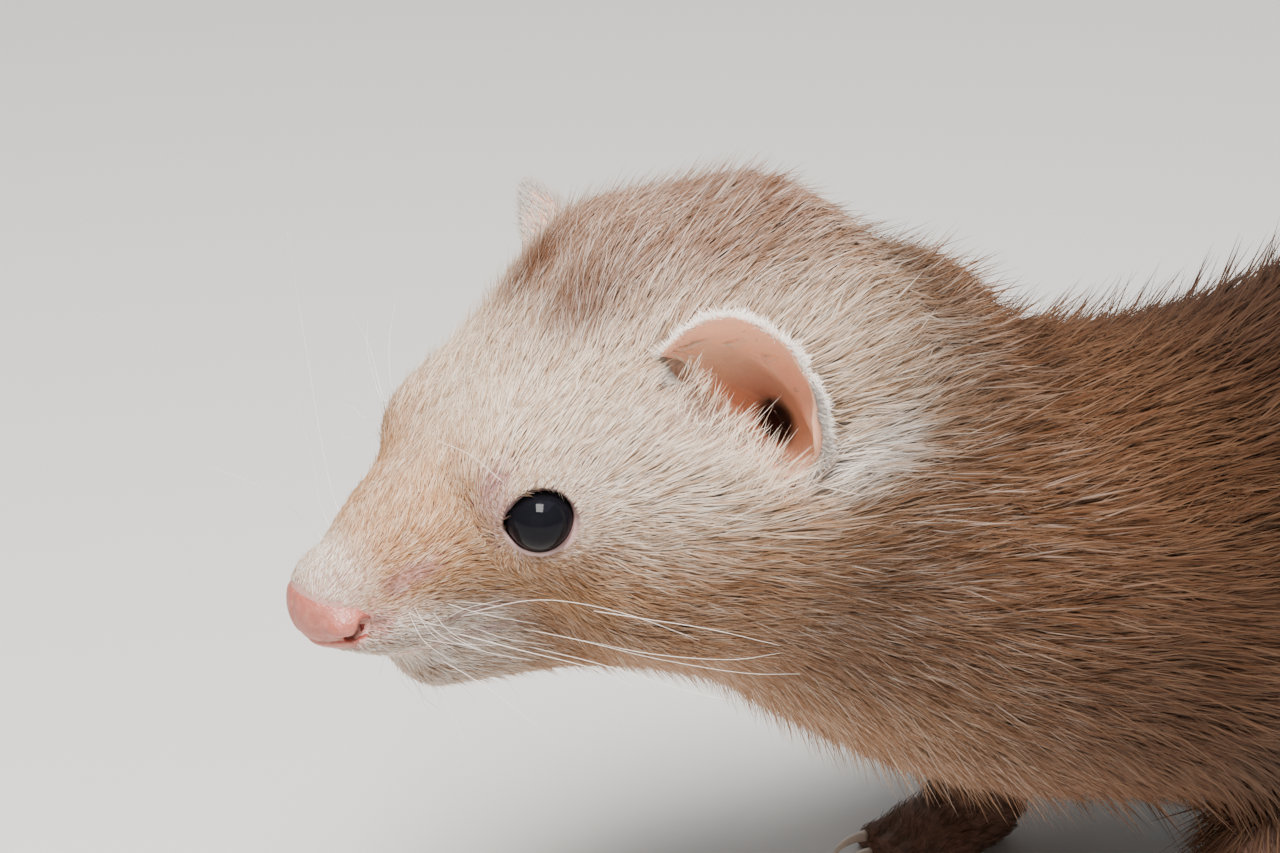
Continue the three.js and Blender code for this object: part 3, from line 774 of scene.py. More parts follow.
def tube(path: Array, radii: Array, around: int) -> Mould:
    """A round tube along a path, run out to a point at both ends.

    Args:
        path: Points of the centre line.
        radii: The radius at each point.
        around: How many sides.

    Returns:
        The mould.
    """
    along = unit(np.gradient(path, axis=0))
    side = unit(np.cross(along, [0.13, 0.21, 0.97]))
    up = np.cross(side, along)
    turn = 2 * math.pi * np.arange(around) / around
    rings = [
        p + r * (np.cos(turn)[:, None] * s + np.sin(turn)[:, None] * u)
        for p, r, s, u in zip(path, radii, side, up)
    ]
    rings = [path[0] + 0 * rings[0], *rings, path[-1] + 0 * rings[0]]
    mould = lofted(rings, closed=False)
    return Mould(mould.points, mould.faces[:, ::-1])


def bent(points: Sequence[Sequence[float]], count: int) -> Array:
    """A smooth path of about count points through a few."""
    spans = max(2, round(count / (len(points) - 1)))
    return smooth_rows(points, spans)


def woven(line: Sequence[Array], width: Array, normal: Array, strand: Array, flat: Array) -> Mould:
    """Closed, tapered tufts of six triangles, each a root, three corners at its bend and a tip.

    Args:
        line: The roots, bends and tips.
        width: Each tuft's width.
        normal: The way each tuft faces.
        strand: Each tuft's tone and paleness.
        flat: The root's place on the bake map, from 0 to 1.

    Returns:
        The tufts as one mould of triangles.
    """
    n = len(width)
    ahead = unit(line[2] - line[0])
    across = unit(np.cross(normal, ahead))
    up = np.cross(ahead, across)
    points, normals = [line[0]], [normal]
    for turn in (90, 210, 330):
        c, s = math.cos(math.radians(turn)), math.sin(math.radians(turn))
        points.append(line[1] + (across * c + up * (s * 0.6)) * width[:, None] / 2)
        normals.append(normal * 0.8 + (across * c + up * s) * 0.4)
    points.append(line[2])
    normals.append(normal + 0.3 * ahead)
    kept, spots = [], []
    for age, share in zip((0.0, BEND, BEND, BEND, 1.0), (0.5, 0.5, 0.0, 1.0, 0.5)):
        kept.append(np.stack([strand[:, 0], np.full(n, age), strand[:, 1]], -1))
        spots.append(flat * (1 - PATCH) + PATCH / 2 + np.array([share - 0.5, age - 0.5]) * PATCH)
    faces = [f for a, b in ((1, 2), (2, 3), (3, 1)) for f in ((0, b, a), (a, b, 4))]
    every = (np.arange(n) * len(points))[:, None, None] + np.array(faces)[None]
    weave = [np.stack(v, 1).reshape(n * len(points), -1) for v in (points, normals, kept, spots)]
    return Mould(weave[0], every.reshape(-1, 3), weave[1], weave[3], weave[2])


# ---------------------------------------------------------------- shader maths


class Wire:
    """One output socket of a material's nodes, with arithmetic on its value."""

    def __init__(self, shop: "Shop", socket: bpy.types.NodeSocket) -> None:
        """Wraps a socket."""
        self.shop = shop
        self.socket = socket

    def _math(self, operation: str, a: Any, b: Any) -> "Wire":
        """A Math node on two values."""
        return self.shop.node("ShaderNodeMath", {"operation": operation}, {0: a, 1: b})

    def __add__(self, other: Any) -> "Wire":
        """This plus another."""
        return self._math("ADD", self, other)

    __radd__ = __add__

    def __sub__(self, other: Any) -> "Wire":
        """This less another."""
        return self._math("SUBTRACT", self, other)

    def __rsub__(self, other: Any) -> "Wire":
        """Another less this."""
        return self._math("SUBTRACT", other, self)

    def __mul__(self, other: Any) -> "Wire":
        """This times another."""
        return self._math("MULTIPLY", self, other)

    __rmul__ = __mul__

    def __truediv__(self, other: Any) -> "Wire":
        """This divided by another."""
        return self._math("DIVIDE", self, other)

    def __pow__(self, other: float) -> "Wire":
        """This to a power."""
        return self._math("POWER", self, other)

    def step(self, low: float, high: float) -> "Wire":
        """A smooth step from 0 at low to 1 at high.

        Args:
            low: Where the step starts.
            high: Where it ends.

        Returns:
            The step.
        """
        settings = {"interpolation_type": "SMOOTHSTEP"}
        inputs = {0: self, 1: low, 2: high, 3: 0.0, 4: 1.0}
        return self.shop.node("ShaderNodeMapRange", settings, inputs)


class Shop:
    """A material and its nodes."""

    def __init__(self, name: str) -> None:
        """Starts a material with one principled shader.

        Args:
            name: The material's name.
        """
        self.material = bpy.data.materials.new(name)
        self.material.use_nodes = True
        self.tree = self.material.node_tree
        self.shader = self.tree.nodes["Principled BSDF"]

    def node(self, kind: str, settings: dict[str, Any], inputs: dict[Any, Any], out: Any = 0) -> Wire:
        """Adds a node.

        Args:
            kind: The node's type.
            settings: What is set on the node first.
            inputs: A value or a wire for each socket, by number or name.
            out: Which output to give back.

        Returns:
            The output as a wire.
        """
        made = self.tree.nodes.new(kind)
        for key, value in settings.items():
            setattr(made, key, value)
        for key, value in inputs.items():
            if isinstance(value, Wire):
                self.tree.links.new(value.socket, made.inputs[key])
            else:
                made.inputs[key].default_value = value
        return Wire(self, made.outputs[out])

    def mix(self, factor: Any, a: Any, b: Any) -> Wire:
        """A colour between a and b, each a wire or a colour of three numbers.

        Args:
            factor: How much of the second colour, from 0 to 1.
            a: The colour at 0.
            b: The colour at 1.

        Returns:
            The colour.
        """
        full = [v if isinstance(v, Wire) else (*v, 1.0) for v in (a, b)]
        settings = {"data_type": "RGBA", "clamp_factor": True}
        return self.node("ShaderNodeMix", settings, {0: factor, 6: full[0], 7: full[1]}, out=2)

    def shade(self, colour: Any, factor: Any) -> Wire:
        """A colour made darker or lighter by a grey factor.

        Args:
            colour: A wire or a colour of three numbers.
            factor: What it is multiplied by.

        Returns:
            The colour.
        """
        grey = self.node("ShaderNodeCombineXYZ", {}, {0: factor, 1: factor, 2: factor})
        settings = {"data_type": "RGBA", "blend_type": "MULTIPLY", "clamp_factor": True}
        full = colour if isinstance(colour, Wire) else (*colour, 1.0)
        return self.node("ShaderNodeMix", settings, {0: 1.0, 6: full, 7: grey}, out=2)

    def noise(self, scale: float, detail: float = 2.0, vector: Wire | None = None) -> Wire:
        """A noise value about a half, with its scale in bumps a metre.

        Args:
            scale: Bumps a metre.
            detail: How many finer layers it has.
            vector: Where it is read, or none for the place on the surface.

        Returns:
            The value.
        """
        inputs: dict[Any, Any] = {"Scale": scale, "Detail": detail}
        inputs["Vector"] = vector or self.place()
        return self.node("ShaderNodeTexNoise", {}, inputs)

    def place(self) -> Wire:
        """The point of the surface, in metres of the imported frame."""
        return self.node("ShaderNodeNewGeometry", {}, {}, out="Position")

    def bump(self, height: Wire, distance: float, strength: float = 1.0) -> None:
        """Feeds the shader's normal with a bump.

        Args:
            height: The bump's height.
            distance: How high a height of 1 stands, in metres.
            strength: The share of it that shows.
        """
        inputs = {"Height": height, "Distance": distance, "Strength": strength}
        normal = self.node("ShaderNodeBump", {}, inputs)
        self.tree.links.new(normal.socket, self.shader.inputs["Normal"])

    def finish(self, colour: Any, fixed: dict[str, Any]) -> bpy.types.Material:
        """Sets the shader.

        Args:
            colour: A wire or a colour of three numbers.
            fixed: Constants, and wires for what may vary, by socket name.

        Returns:
            The material.
        """
        for key, value in {"Base Color": colour, **fixed}.items():
            if isinstance(value, Wire):
                self.tree.links.new(value.socket, self.shader.inputs[key])
            elif key == "Base Color":
                self.shader.inputs[key].default_value = (*value, 1.0)
            else:
                self.shader.inputs[key].default_value = value
        return self.material


@dataclass(frozen=True)
class Spot:
    """A soft-edged patch of the markings, the same on both sides, in the head's frame."""

    centre: tuple[float, float, float]
    radii: tuple[float, float, float]
    soft: float = 0.5

    def mask(self, shop: Shop, side: tuple[Wire, Wire, Wire]) -> Wire:
        """The patch's mask, 1 in the middle, from the head's coordinates.

        Args:
            shop: The material in the making.
            side: The head's coordinates, with y folded to one side.

        Returns:
            The mask.
        """
        parts = [((w - c) / r) ** 2.0 for w, c, r in zip(side, self.centre, self.radii)]
        far = (parts[0] + parts[1] + parts[2]) ** 0.5
        return 1.0 - far.step(1.0 - self.soft, 1.0 + self.soft)


@dataclass(frozen=True)
class Markings:
    """The coat's colours, shared by the skin and every tuft, with painted shadow on the throat and the body.
    """

    cream: Colour = (0.97, 0.80, 0.64)
    white: Colour = (1.0, 0.93, 0.87)
    gold: Colour = (0.70, 0.41, 0.21)
    straw: Colour = (0.50, 0.285, 0.155)
    taupe: Colour = (0.25, 0.125, 0.078)
    umber: Colour = (0.15, 0.064, 0.029)
    tan: Colour = (0.235, 0.122, 0.065)
    # The body's brown is partly its own darker fur and partly painted shadow.
    brown: Colour = (0.055, 0.024, 0.0105)
    pink: Colour = (0.74, 0.36, 0.31)
    mauve: Colour = (0.50, 0.28, 0.28)
    thin_hair: tuple[tuple[Colour, Colour, float], ...] = (
        ((41.4, 7.3, -2.8), (1.3, 1.5, 1.1), 0.7),
        ((38.8, 7.9, -1.6), (2.4, 1.7, 1.1), 0.65),
        ((30.0, 12.3, 6.0), (1.8, 2.2, 4.2), 0.6),
        ((32.5, 9.9, -8.6), (5.0, 2.4, 0.7), 0.6),
        ((33.5, 8.6, -12.2), (5.5, 3.0, 0.7), 0.6),
        ((44.0, 7.7, -6.6), (1.5, 1.6, 1.6), 0.7),
    )

    def head_place(self, shop: Shop, form: Form) -> tuple[Wire, Wire, Wire]:
        """The head's coordinates in millimetres, with y folded to one side.

        Args:
            shop: The material in the making.
            form: The animal's form.

        Returns:
            The three coordinates.
        """
        origin = form.metres(form.home[None])[0]
        settings = {"operation": "SUBTRACT"}
        local = shop.node("ShaderNodeVectorMath", settings, {0: shop.place(), 1: tuple(origin)})
        out = []
        for axis in form.turn.T / MM:
            dot = {"operation": "DOT_PRODUCT"}
            out.append(shop.node("ShaderNodeVectorMath", dot, {0: local, 1: tuple(axis)}, out="Value"))
        out[1] = shop.node("ShaderNodeMath", {"operation": "ABSOLUTE"}, {0: out[1]})
        return out[0], out[1], out[2]

    def areas(self) -> tuple[tuple[Spot, float, Colour], ...]:
        """The areas of the face and neck in the order they are laid on: where, how much, what.

        Returns:
            The areas.
        """
        smudge = Spot((12, 5.3, 21.5), (5.5, 4.4, 4.4), 0.6)
        # Painted shadow: a tan patch on the side of the throat, where shade falls under the head.
        throat_shadow = Spot((-16, 18, -22), (20, 16, 15), 0.5)
        bridge = Spot((35, 6, 2), (12, 8, 9), 0.6)
        under_eye = Spot((24, 15, -6), (13, 7, 5), 0.6)
        behind_ear = Spot((-11, 22.5, 0.5), (8, 7, 3.6), 0.6)
        lip = Spot((39, 6, -11), (12, 8, 5.5), 0.4)
        chin = Spot((34, 3, -17), (9, 8, 6), 0.5)
        snout = Spot((47, 0, -2), (5, 7, 4), 0.5)
        temple = Spot((15, 19, 5), (12, 7, 9), 0.6)
        return (
            (smudge, 0.85, self.umber),
            (throat_shadow, 0.7, self.tan),
            (bridge, 0.9, self.gold),
            (under_eye, 0.65, self.gold),
            (behind_ear, 0.9, self.white),
            (lip, 0.9, self.white),
            (chin, 0.55, self.white),
            (snout, 0.7, self.white),
            (temple, 0.3, self.white),
        )

    def colour(self, shop: Shop, form: Form) -> Wire:
        """The markings, with painted shadow on the throat and the body, as a colour that depends on the
        place only.

        Args:
            shop: The material in the making.
            form: The animal's form.

        Returns:
            The colour.
        """
        side = self.head_place(shop, form)
        x, _, z = side
        blotch = shop.noise(140.0, 3.0)
        made = shop.mix((z * -1.0).step(-6.0, 9.0) * 0.9, self.cream, self.straw)
        made = shop.mix((x * -1.0).step(-4.0, 44.0), made, self.tan)
        # Towards the body the coat turns brown, partly its own colour and partly painted shadow.
        made = shop.mix((x * -1.0).step(34.0, 95.0) * 0.85 + blotch * 0.15, made, self.brown)
        crown = Spot((-4, 0, 27), (26, 18, 14), 0.5).mask(shop, side)
        made = shop.mix(crown * (0.6 + blotch * 0.4), made, self.taupe)
        for spot, share, colour in self.areas():
            made = shop.mix(spot.mask(shop, side) * share, made, colour)
        for centre, radii, share in self.thin_hair:
            made = shop.mix(Spot(centre, radii, 0.6).mask(shop, side) * share, made, self.mauve)
        return made


# ---------------------------------------------------------------- finishes


@dataclass(frozen=True)
class CoatFinish:
    """Hair: the markings, varied from strand to strand and lighter towards the tips, with painted shade
    darkening the roots.
    """

    markings: Markings = Markings()
    shadow: Colour = (0.60, 0.46, 0.35)
    roughness: float = 0.55

    def make(self, form: Form) -> bpy.types.Material:
        """Makes the material.

        Args:
            form: The animal's form.

        Returns:
            The material.
        """
        shop = Shop("coat_hair")
        strand = shop.node("ShaderNodeAttribute", {"attribute_name": "strand"}, {}, out="Vector")
        tone, tip, pale = (
            shop.node("ShaderNodeSeparateXYZ", {}, {0: strand}, out=axis) for axis in "XYZ"
        )
        full = self.markings.colour(shop, form)
        settings = {"data_type": "RGBA", "blend_type": "MULTIPLY"}
        dark = shop.node("ShaderNodeMix", settings, {0: 1.0, 6: full, 7: (*self.shadow, 1.0)}, out=2)
        made = shop.mix(tone.step(0.22, 0.72), dark, full)
        along = self.markings.head_place(shop, form)[0]
        made = shop.mix((tone - 0.66) * 1.6 * along.step(-60.0, -10.0), made, self.markings.white)
        made = shop.mix(pale, made, self.markings.white)
        # Painted shade deep in the coat: each tuft darkens to 0.58 at its root.
        made = shop.shade(made, 0.58 + 0.42 * tip)
        fixed = {"Roughness": self.roughness, "Specular IOR Level": 0.3}
        return shop.finish(made, fixed)


@dataclass(frozen=True)
class SkinFinish:
    """Skin under the coat: pink and mauve on the face, combed with fine short hair, and darkened with
    painted shade of the coat above it, least on the face.
    """

    markings: Markings = Markings()
    combed: float = 130.0

    def make(self, form: Form) -> bpy.types.Material:
        """Makes the material.

        Args:
            form: The animal's form.

        Returns:
            The material.
        """
        shop = Shop("skin_under_coat")
        side = self.markings.head_place(shop, form)
        fur = self.markings.colour(shop, form)
        face = side[0].step(8.0, 36.0)
        eye = Spot((26.5, 12.5, 3.5), (7.5, 5.0, 7.0), 0.35).mask(shop, side)
        hue = shop.mix(eye, self.markings.pink, self.markings.mauve)
        made = shop.mix(0.2 + 0.65 * face + 0.3 * eye, fur, hue)
        nose = tuple(form.metres(form.from_head(NOSE_AT[None]))[0])
        apart = shop.node("ShaderNodeVectorMath", {"operation": "SUBTRACT"}, {0: shop.place(), 1: nose})
        way = shop.node("ShaderNodeVectorMath", {"operation": "NORMALIZE"}, {0: apart})
        streak = shop.noise(self.combed, 2.0, way)
        # Painted shade under the coat: the skin is darkened to 0.55 of its colour off the face and 0.8 on
        # it.
        made = shop.shade(made, 0.55 + 0.25 * face + (streak - 0.5) * 0.9)
        shop.bump(streak, 0.0005, 0.5)
        return shop.finish(made, {"Roughness": 0.6, "Specular IOR Level": 0.25})


@dataclass(frozen=True)
class NoseFinish:
    """Bare moist nose skin, peach-pink with a fine cobbled grain and dark red nostrils, deepened with
    painted shade in and around their openings.
    """

    skin: Colour = (0.42, 0.125, 0.092)
    pale: Colour = (0.50, 0.18, 0.138)
    # Dark red of the nostrils, partly their own colour and partly painted shade.
    deep: Colour = (0.20, 0.025, 0.02)

    def make(self, form: Form) -> bpy.types.Material:
        """Makes the material.

        Args:
            form: The animal's form.

        Returns:
            The material.
        """
        shop = Shop("nose_skin")
        side = Markings().head_place(shop, form)
        mottle = shop.noise(900.0, 3.0)
        hole = Spot((45.7, 4.8, -7.5), (1.6, 2.0, 1.0), 0.4).mask(shop, side)
        slit = Spot((44.6, 7.0, -6.2), (1.5, 1.5, 1.0), 0.5).mask(shop, side)
        made = shop.mix(mottle.step(0.35, 0.75), self.skin, self.pale)
        # Nostrils darkened: dark red skin with painted shade in and around the openings.
        made = shop.mix(hole * 0.9 + slit * 0.7, made, self.deep)
        grain = shop.node(
            "ShaderNodeTexVoronoi", {}, {"Vector": shop.place(), "Scale": 2600.0}, out="Distance"
        )
        shop.bump(grain, 0.0001, 0.7)
        fixed = {
            "Roughness": 0.30 + mottle * 0.2,
            "Specular IOR Level": 0.5,
            "Subsurface Weight": 0.25,
            "Subsurface Radius": (0.002, 0.0008, 0.0005),
            "Subsurface Scale": 1.0,
        }
        return shop.finish(made, fixed)


@dataclass(frozen=True)
class EarFinish:
    """Thin ear skin, peach inside, with the canal at the bottom of the cup shown by painted shade."""

    peach: Colour = (0.84, 0.40, 0.25)
    rosy: Colour = (0.88, 0.47, 0.33)
    # Near black for the canal: painted shade, not the skin's colour.
    dark: Colour = (0.05, 0.018, 0.014)
    canal_at: tuple[float, float, float] = (-2.4, -7.6, -7.0)
    canal_radius: float = 2.9

    def make(self, form: Form) -> bpy.types.Material:
        """Makes the material.

        Args:
            form: The animal's form.

        Returns:
            The material.
        """
        shop = Shop("ear_skin")
        side = Markings().head_place(shop, form)
        shape = EarShape()
        deep = np.array(shape.at) + np.array(self.canal_at) @ shape.axes
        # Painted shade where the canal lies; the cup has no hole there.
        canal = Spot(tuple(deep), (self.canal_radius,) * 3, 0.35).mask(shop, side)
        patch = shop.noise(420.0, 3.0)
        made = shop.mix(patch, self.peach, self.rosy)
        made = shop.mix(canal, made, self.dark)
        shop.bump(shop.noise(2400.0, 3.0), 0.0002, 0.4)
        fixed = {
            "Roughness": 0.5,
            "Subsurface Weight": 0.3,
            "Subsurface Radius": (0.003, 0.001, 0.0006),
            "Subsurface Scale": 1.0,
        }
        return shop.finish(made, fixed)


class Plain(Enum):
    """Small finishes: name, colour, roughness, coat weight."""

    EYE = ("eye_gloss", (0.006, 0.006, 0.009), 0.04, 0.0)
    LIP = ("lip_skin", (0.55, 0.34, 0.31), 0.5, 0.0)
    WHISKER = ("whisker_hair", (0.86, 0.78, 0.72), 0.3, 0.2)
    CLAW = ("claw_horn", (0.80, 0.66, 0.55), 0.35, 0.3)

    def make(self) -> bpy.types.Material:
        """Makes the material, with a faint mottle and grain.

        Returns:
            The material.
        """
        name, colour, roughness, coat = self.value
        shop = Shop(name)
        mottle = shop.noise(800.0, 3.0)
        made = shop.shade(colour, 0.85 + mottle * 0.3)
        if self is not Plain.EYE:
            shop.bump(shop.noise(3000.0, 2.0), 0.00015, 0.3)
        fixed = {"Roughness": roughness, "Coat Weight": coat, "Coat Roughness": 0.03}
        if self is Plain.EYE:
            fixed["Specular IOR Level"] = 0.09
        return shop.finish(made, fixed)


@dataclass(frozen=True)
class LidFinish:
    """Lilac-grey lid skin with a dark wet margin next to the eye."""

    skin: Colour = (0.42, 0.27, 0.265)
    margin: Colour = (0.14, 0.07, 0.07)
    wet_reach: float = 3.96

    def make(self, form: Form) -> bpy.types.Material:
        """Makes the material.

        Args:
            form: The animal's form.

        Returns:
            The material.
        """
        shop = Shop("lid_skin")
        side = Markings().head_place(shop, form)
        wet = Spot(tuple(EYE_AT), (self.wet_reach,) * 3, 0.035).mask(shop, side)
        made = shop.shade(self.skin, 0.8 + shop.noise(900.0, 3.0) * 0.4)
        made = shop.mix(wet, made, self.margin)
        shop.bump(shop.noise(3200.0, 2.0), 0.00015, 0.4)
        return shop.finish(made, {"Roughness": 0.5 - wet * 0.25})


# ---------------------------------------------------------------- the coat


class Plot(Enum):
    """The pieces that the coat is made in: name, slot, and whether it comes in two sides."""

    MUZZLE = ("muzzle", "face", True)
    FACE = ("face", "face", True)
    CROWN = ("crown", "face", True)
    NECK = ("neck", "coat", True)
    CHEST = ("chest", "coat", True)
    BACK = ("back", "coat", True)
    RUMP = ("rump", "coat", True)
    TAIL = ("tail", "coat", False)
    LEGS = ("legs", "paw", True)


@dataclass
class Roots:
    """Where tufts grow: places, normals, directions of lie and the tufts' sizes."""

    place: Array
    normal: Array
    lie: Array
    length: Array
    width: Array
    deep: Array

    def pick(self, which: Array) -> "Roots":
        """Some of the roots."""
        return Roots(*[getattr(self, k)[which] for k in self.__dataclass_fields__])


@dataclass
class Coat:
    """The fur: closed, tapered tufts that follow the lie of the coat."""

    form: Form
    seed: int = 11
    limit: int = 30_000
    strays: float = 0.09

    def density(self, p: Array, h: Array) -> Array:
        """Tufts for each square millimetre of skin.

        Args:
            p: Places in the unshifted row frame.
            h: The same places in the head's frame.

        Returns:
            The density at each.
        """
        r = np.linalg.norm(h - NOSE_AT, axis=-1)
        stops = (2, 8, 20, 32, 50, 70, 95, 130, 200)
        head = np.interp(r, stops, (31, 31, 22, 17.5, 14.5, 9.2, 4.8, 1.8, 1.2))
        tail = ramp(-p[:, 0], 268, 290)
        legs = ramp(self.form.trunk(p), 2.0, 9.0) * (p[:, 0] < -50) * (1 - tail)
        made = head * (1 - legs) + np.maximum(head, 1.5) * legs
        made = made * (1 - tail) + 0.9 * tail
        bare = ramp(np.linalg.norm(h - EYE_AT, axis=-1), 4.6, 5.3)
        made = made * bare * (self.form.pad(h) > 0.12)
        brow = cone((28.6, 12.6, 1.5), (30.1, 12.2, 7.2), 1.2, 1.2)(h)
        top = cone((30.1, 12.2, 7.2), (29.0, 11.9, 9.2), 1.2, 0.8)(h)
        root = cone((41.0, 7.3, -2.5), (37.5, 8.3, -1.2), 1.0, 0.8)(h)
        row = cone((36.4, 8.7, -8.0), (28.7, 10.7, -9.4), 0.1, 0.1)(h)
        wing = cone((43.3, 8.3, -5.7), (44.4, 7.3, -7.0), 0.5, 0.7)(h)
        thin = np.minimum(np.minimum(np.minimum(brow, top), np.minimum(root, row)), wing)
        made = made * (0.35 + 0.65 * ramp(thin, -0.4, 1.4))
        sole = (p[:, 2] < 1.0) & (p[:, 0] < -40)
        return np.where(sole, 0.0, made)

    def length(self, p: Array, h: Array) -> Array:
        """The tufts' length.

        Args:
            p: Points in the unshifted row frame.
            h: The same places in the head's frame.

        Returns:
            The length at each.
        """
        stops = (0, 5, 12, 22, 32, 46, 66, 91, 126)
        made = np.interp(self.form.pad(h), stops, (0.8, 1.5, 2.5, 3.6, 4.6, 6.0, 8.0, 10, 13))
        eye = ramp(np.linalg.norm(h - EYE_AT, axis=-1), 4.5, 10.0)
        made = made * (0.35 + 0.65 * eye)
        ear = EarShape()
        b, u, _ = ((h - np.array(ear.at)) @ ear.axes.T).T
        ahead = ramp(b, 1.0, -2.0) * (1 - ramp(ear.room(h), 2.0, 7.0)) * ramp(u, -14.0, -10.0)
        made = made + 3.2 * ahead * ramp(u, 4.0, -4.0)
        made = made * (1 - 0.5 * ramp(u, 1.0, 6.0) * ahead)
        off = ramp(self.form.trunk(p), 0.0, 10.0) * (p[:, 0] < -50) * (p[:, 0] > -275)
        low = np.interp(p[:, 2], (0, 4, 12, 30, 50), (1.6, 2.4, 4.0, 8.0, 13.0))
        made = made * (1 - off) + np.minimum(low, made) * off
        tail = ramp(-p[:, 0], 265, 320)
        tuft = np.interp(p[:, 0], (-408, -390, -360), (7.0, 11.0, 17.0))
        return made * (1 - tail) + tuft * tail

    def lie(self, p: Array, n: Array) -> Array:
        """The way the coat lies, along the surface.

        Args:
            p: Places on the skin.
            n: The skin's normals there.

        Returns:
            Unit vectors that touch the surface.
        """
        form = self.form
        h = form.to_head(p)
        side = np.sign(h[:, 1:2])
        fold = np.abs(h)
        fold[:, [0, 2]] = h[:, [0, 2]]
        source = np.zeros_like(h) + np.array([48.5, 0.0, -6.0])
        source[:, 1] = h[:, 1] * 0.45 * (1 - ramp(-h[:, 0], -38, -22))
        away = unit(h - source) + np.array([-0.25, 0, -0.03])
        rising = np.concatenate([-np.ones_like(side), -0.22 * side, 0.42 + 0 * side], 1)
        rising[:, 2] += 0.35 * ramp(h[:, 0], 20, 38)
        upper = ramp(h[:, 2] + 0.25 * (h[:, 0] - 25), -4, 8) * ramp(h[:, 0], -20, 12)
        made = away * (1 - upper[:, None]) + rising * upper[:, None]
        from_eye = fold - EYE_AT
        gap = np.linalg.norm(from_eye, axis=-1)[:, None]
        push = unit(from_eye)
        push[:, 1:2] *= side
        inward = np.minimum((made * push).sum(-1, keepdims=True), 0.0)
        made = made - (inward - 0.25) * push * (1 - ramp(gap, 5.5, 10.0))
        head = unit(made) @ form.turn.T
        back = np.array([-1.0, 0.0, -0.10])
        body = np.broadcast_to(back, p.shape)
        share = ramp(-h[:, 0], 8.0, 60.0)[:, None]
        made = head * (1 - share) + body * share
        for limb in form.limbs:
            gap = limb.leg(p)
            mine = (1 - ramp(gap, -6.0, 4.0)) * ramp(-p[:, 2], -46, -22)
            toe = (p[:, 2] < 10.0)[:, None]
            down = np.where(toe, np.array([1.0, 0, -0.25]), np.array([-0.25, 0, -1.0]))
            w = mine[:, None]
            made = made * (1 - w) + down * w
        rows = np.array(form.TAIL)[::-1]
        tail = [np.interp(p[:, 0], rows[:, 0], np.gradient(rows[:, i], rows[:, 0])) for i in (1, 2)]
        axis = unit(np.stack([-np.ones(len(p)), -tail[0], -tail[1]], -1))
        w = ramp(-p[:, 0], 262, 292)[:, None]
        made = made * (1 - w) + axis * w
        made = made + 0.16 * wobble(p, 9.0, 5) + 0.10 * wobble(p, 2.6, 6)
        facing = (made * n).sum(-1, keepdims=True)
        past_end = ramp(facing, 0.25, 0.8) * w
        return unit(made - facing * n * (1 - past_end))

    def sow(self, points: Array, faces: Array, normals: Array) -> Roots:
        """Scatters roots evenly over the skin.

        Args:
            points: The skin's corners.
            faces: Its four-sided faces.
            normals: The normal at each corner.

        Returns:
            The roots.
        """
        rng = np.random.default_rng(self.seed)
        corner = points[faces]
        area = np.linalg.norm(
            np.cross(corner[:, 2] - corner[:, 0], corner[:, 3] - corner[:, 1]), axis=-1
        ) / 2
        middle = corner.mean(1)
        h = self.form.folded(middle)
        room = EarShape().room(h)
        wanted = area * self.density(middle, h) * (room > 0.1)
        count = np.floor(wanted + rng.random(len(wanted))).astype(int)
        face = np.repeat(np.arange(len(faces)), count)
        u, v = rng.random((2, len(face), 1))
        weights = np.stack([(1 - u) * (1 - v), u * (1 - v), u * v, (1 - u) * v], 1)
        place = (points[faces[face]] * weights).sum(1)
        normal = unit((normals[faces[face]] * weights).sum(1))
        h = self.form.folded(place)
        length = self.length(place, h) * rng.uniform(0.65, 1.2, len(place))
        width = np.interp(length, (0.4, 2, 5, 8, 12, 17), (0.11, 0.14, 0.17, 0.25, 0.42, 0.6))
        width = width * rng.uniform(0.7, 1.3, len(place))
        lie = self.lie(place, normal)
        lie = unit(lie + 0.10 * rng.normal(size=lie.shape))
        return Roots(place, normal, lie, length, width, self.form.depth(place))

    def grow(self, roots: Roots, seed: int) -> Mould:
        """Grows one tuft on each root.

        Args:
            roots: Where they grow.
            seed: Seeds the small differences.

        Returns:
            The tufts.
        """
        rng = np.random.default_rng(seed)
        n = len(roots.place)
        lift = rng.uniform(0.5, 1.1, n)
        stray = rng.random(n) < self.strays
        drift = 0.10 * roots.length[:, None] * wobble(roots.place, 3.2, 9)
        line = [roots.place - roots.normal * (0.25 * roots.deep * lift)[:, None]]
        for t, rise in ((BEND, 0.55), (1.0, 1.0)):
            want = roots.deep * rise * lift * np.where(stray, 1.0 + 0.9 * t, 1.0)
            p = roots.place + roots.lie * roots.length[:, None] * t + drift * t * t
            for _ in range(2):
                now = self.form.coat(p) + self.form.depth(p)
                reach = 0.6 * roots.length * t
                p = p + roots.normal * np.clip(want - now, -reach, reach)[:, None]
            line.append(p)
        tone = 0.14 + 0.72 * rng.random(n) + 0.06 * wobble(roots.place, 2.2, 12)[:, 0]
        strand = np.stack([np.clip(tone, 0, 1), np.zeros(n)], -1)
        return woven(line, roots.width, roots.normal, strand, self.flatten(roots.place))

    def plot_of(self, p: Array) -> Array:
        """The number of the plot that each place belongs to.

        Args:
            p: Points in the unshifted row frame.

        Returns:
            The numbers.
        """
        h = self.form.to_head(p)
        out = np.full(len(p), 5)
        out[p[:, 0] > -110] = 4
        out[p[:, 0] > -56] = 3
        out[h[:, 0] > -14] = 2
        out[h[:, 0] > 8] = 1
        out[h[:, 0] > 27] = 0
        out[p[:, 0] < -195] = 6
        off = self.form.trunk(p) > 3.0
        out[off & (p[:, 0] < -50) & (p[:, 0] > -275)] = 8
        out[p[:, 0] < -278] = 7
        return out

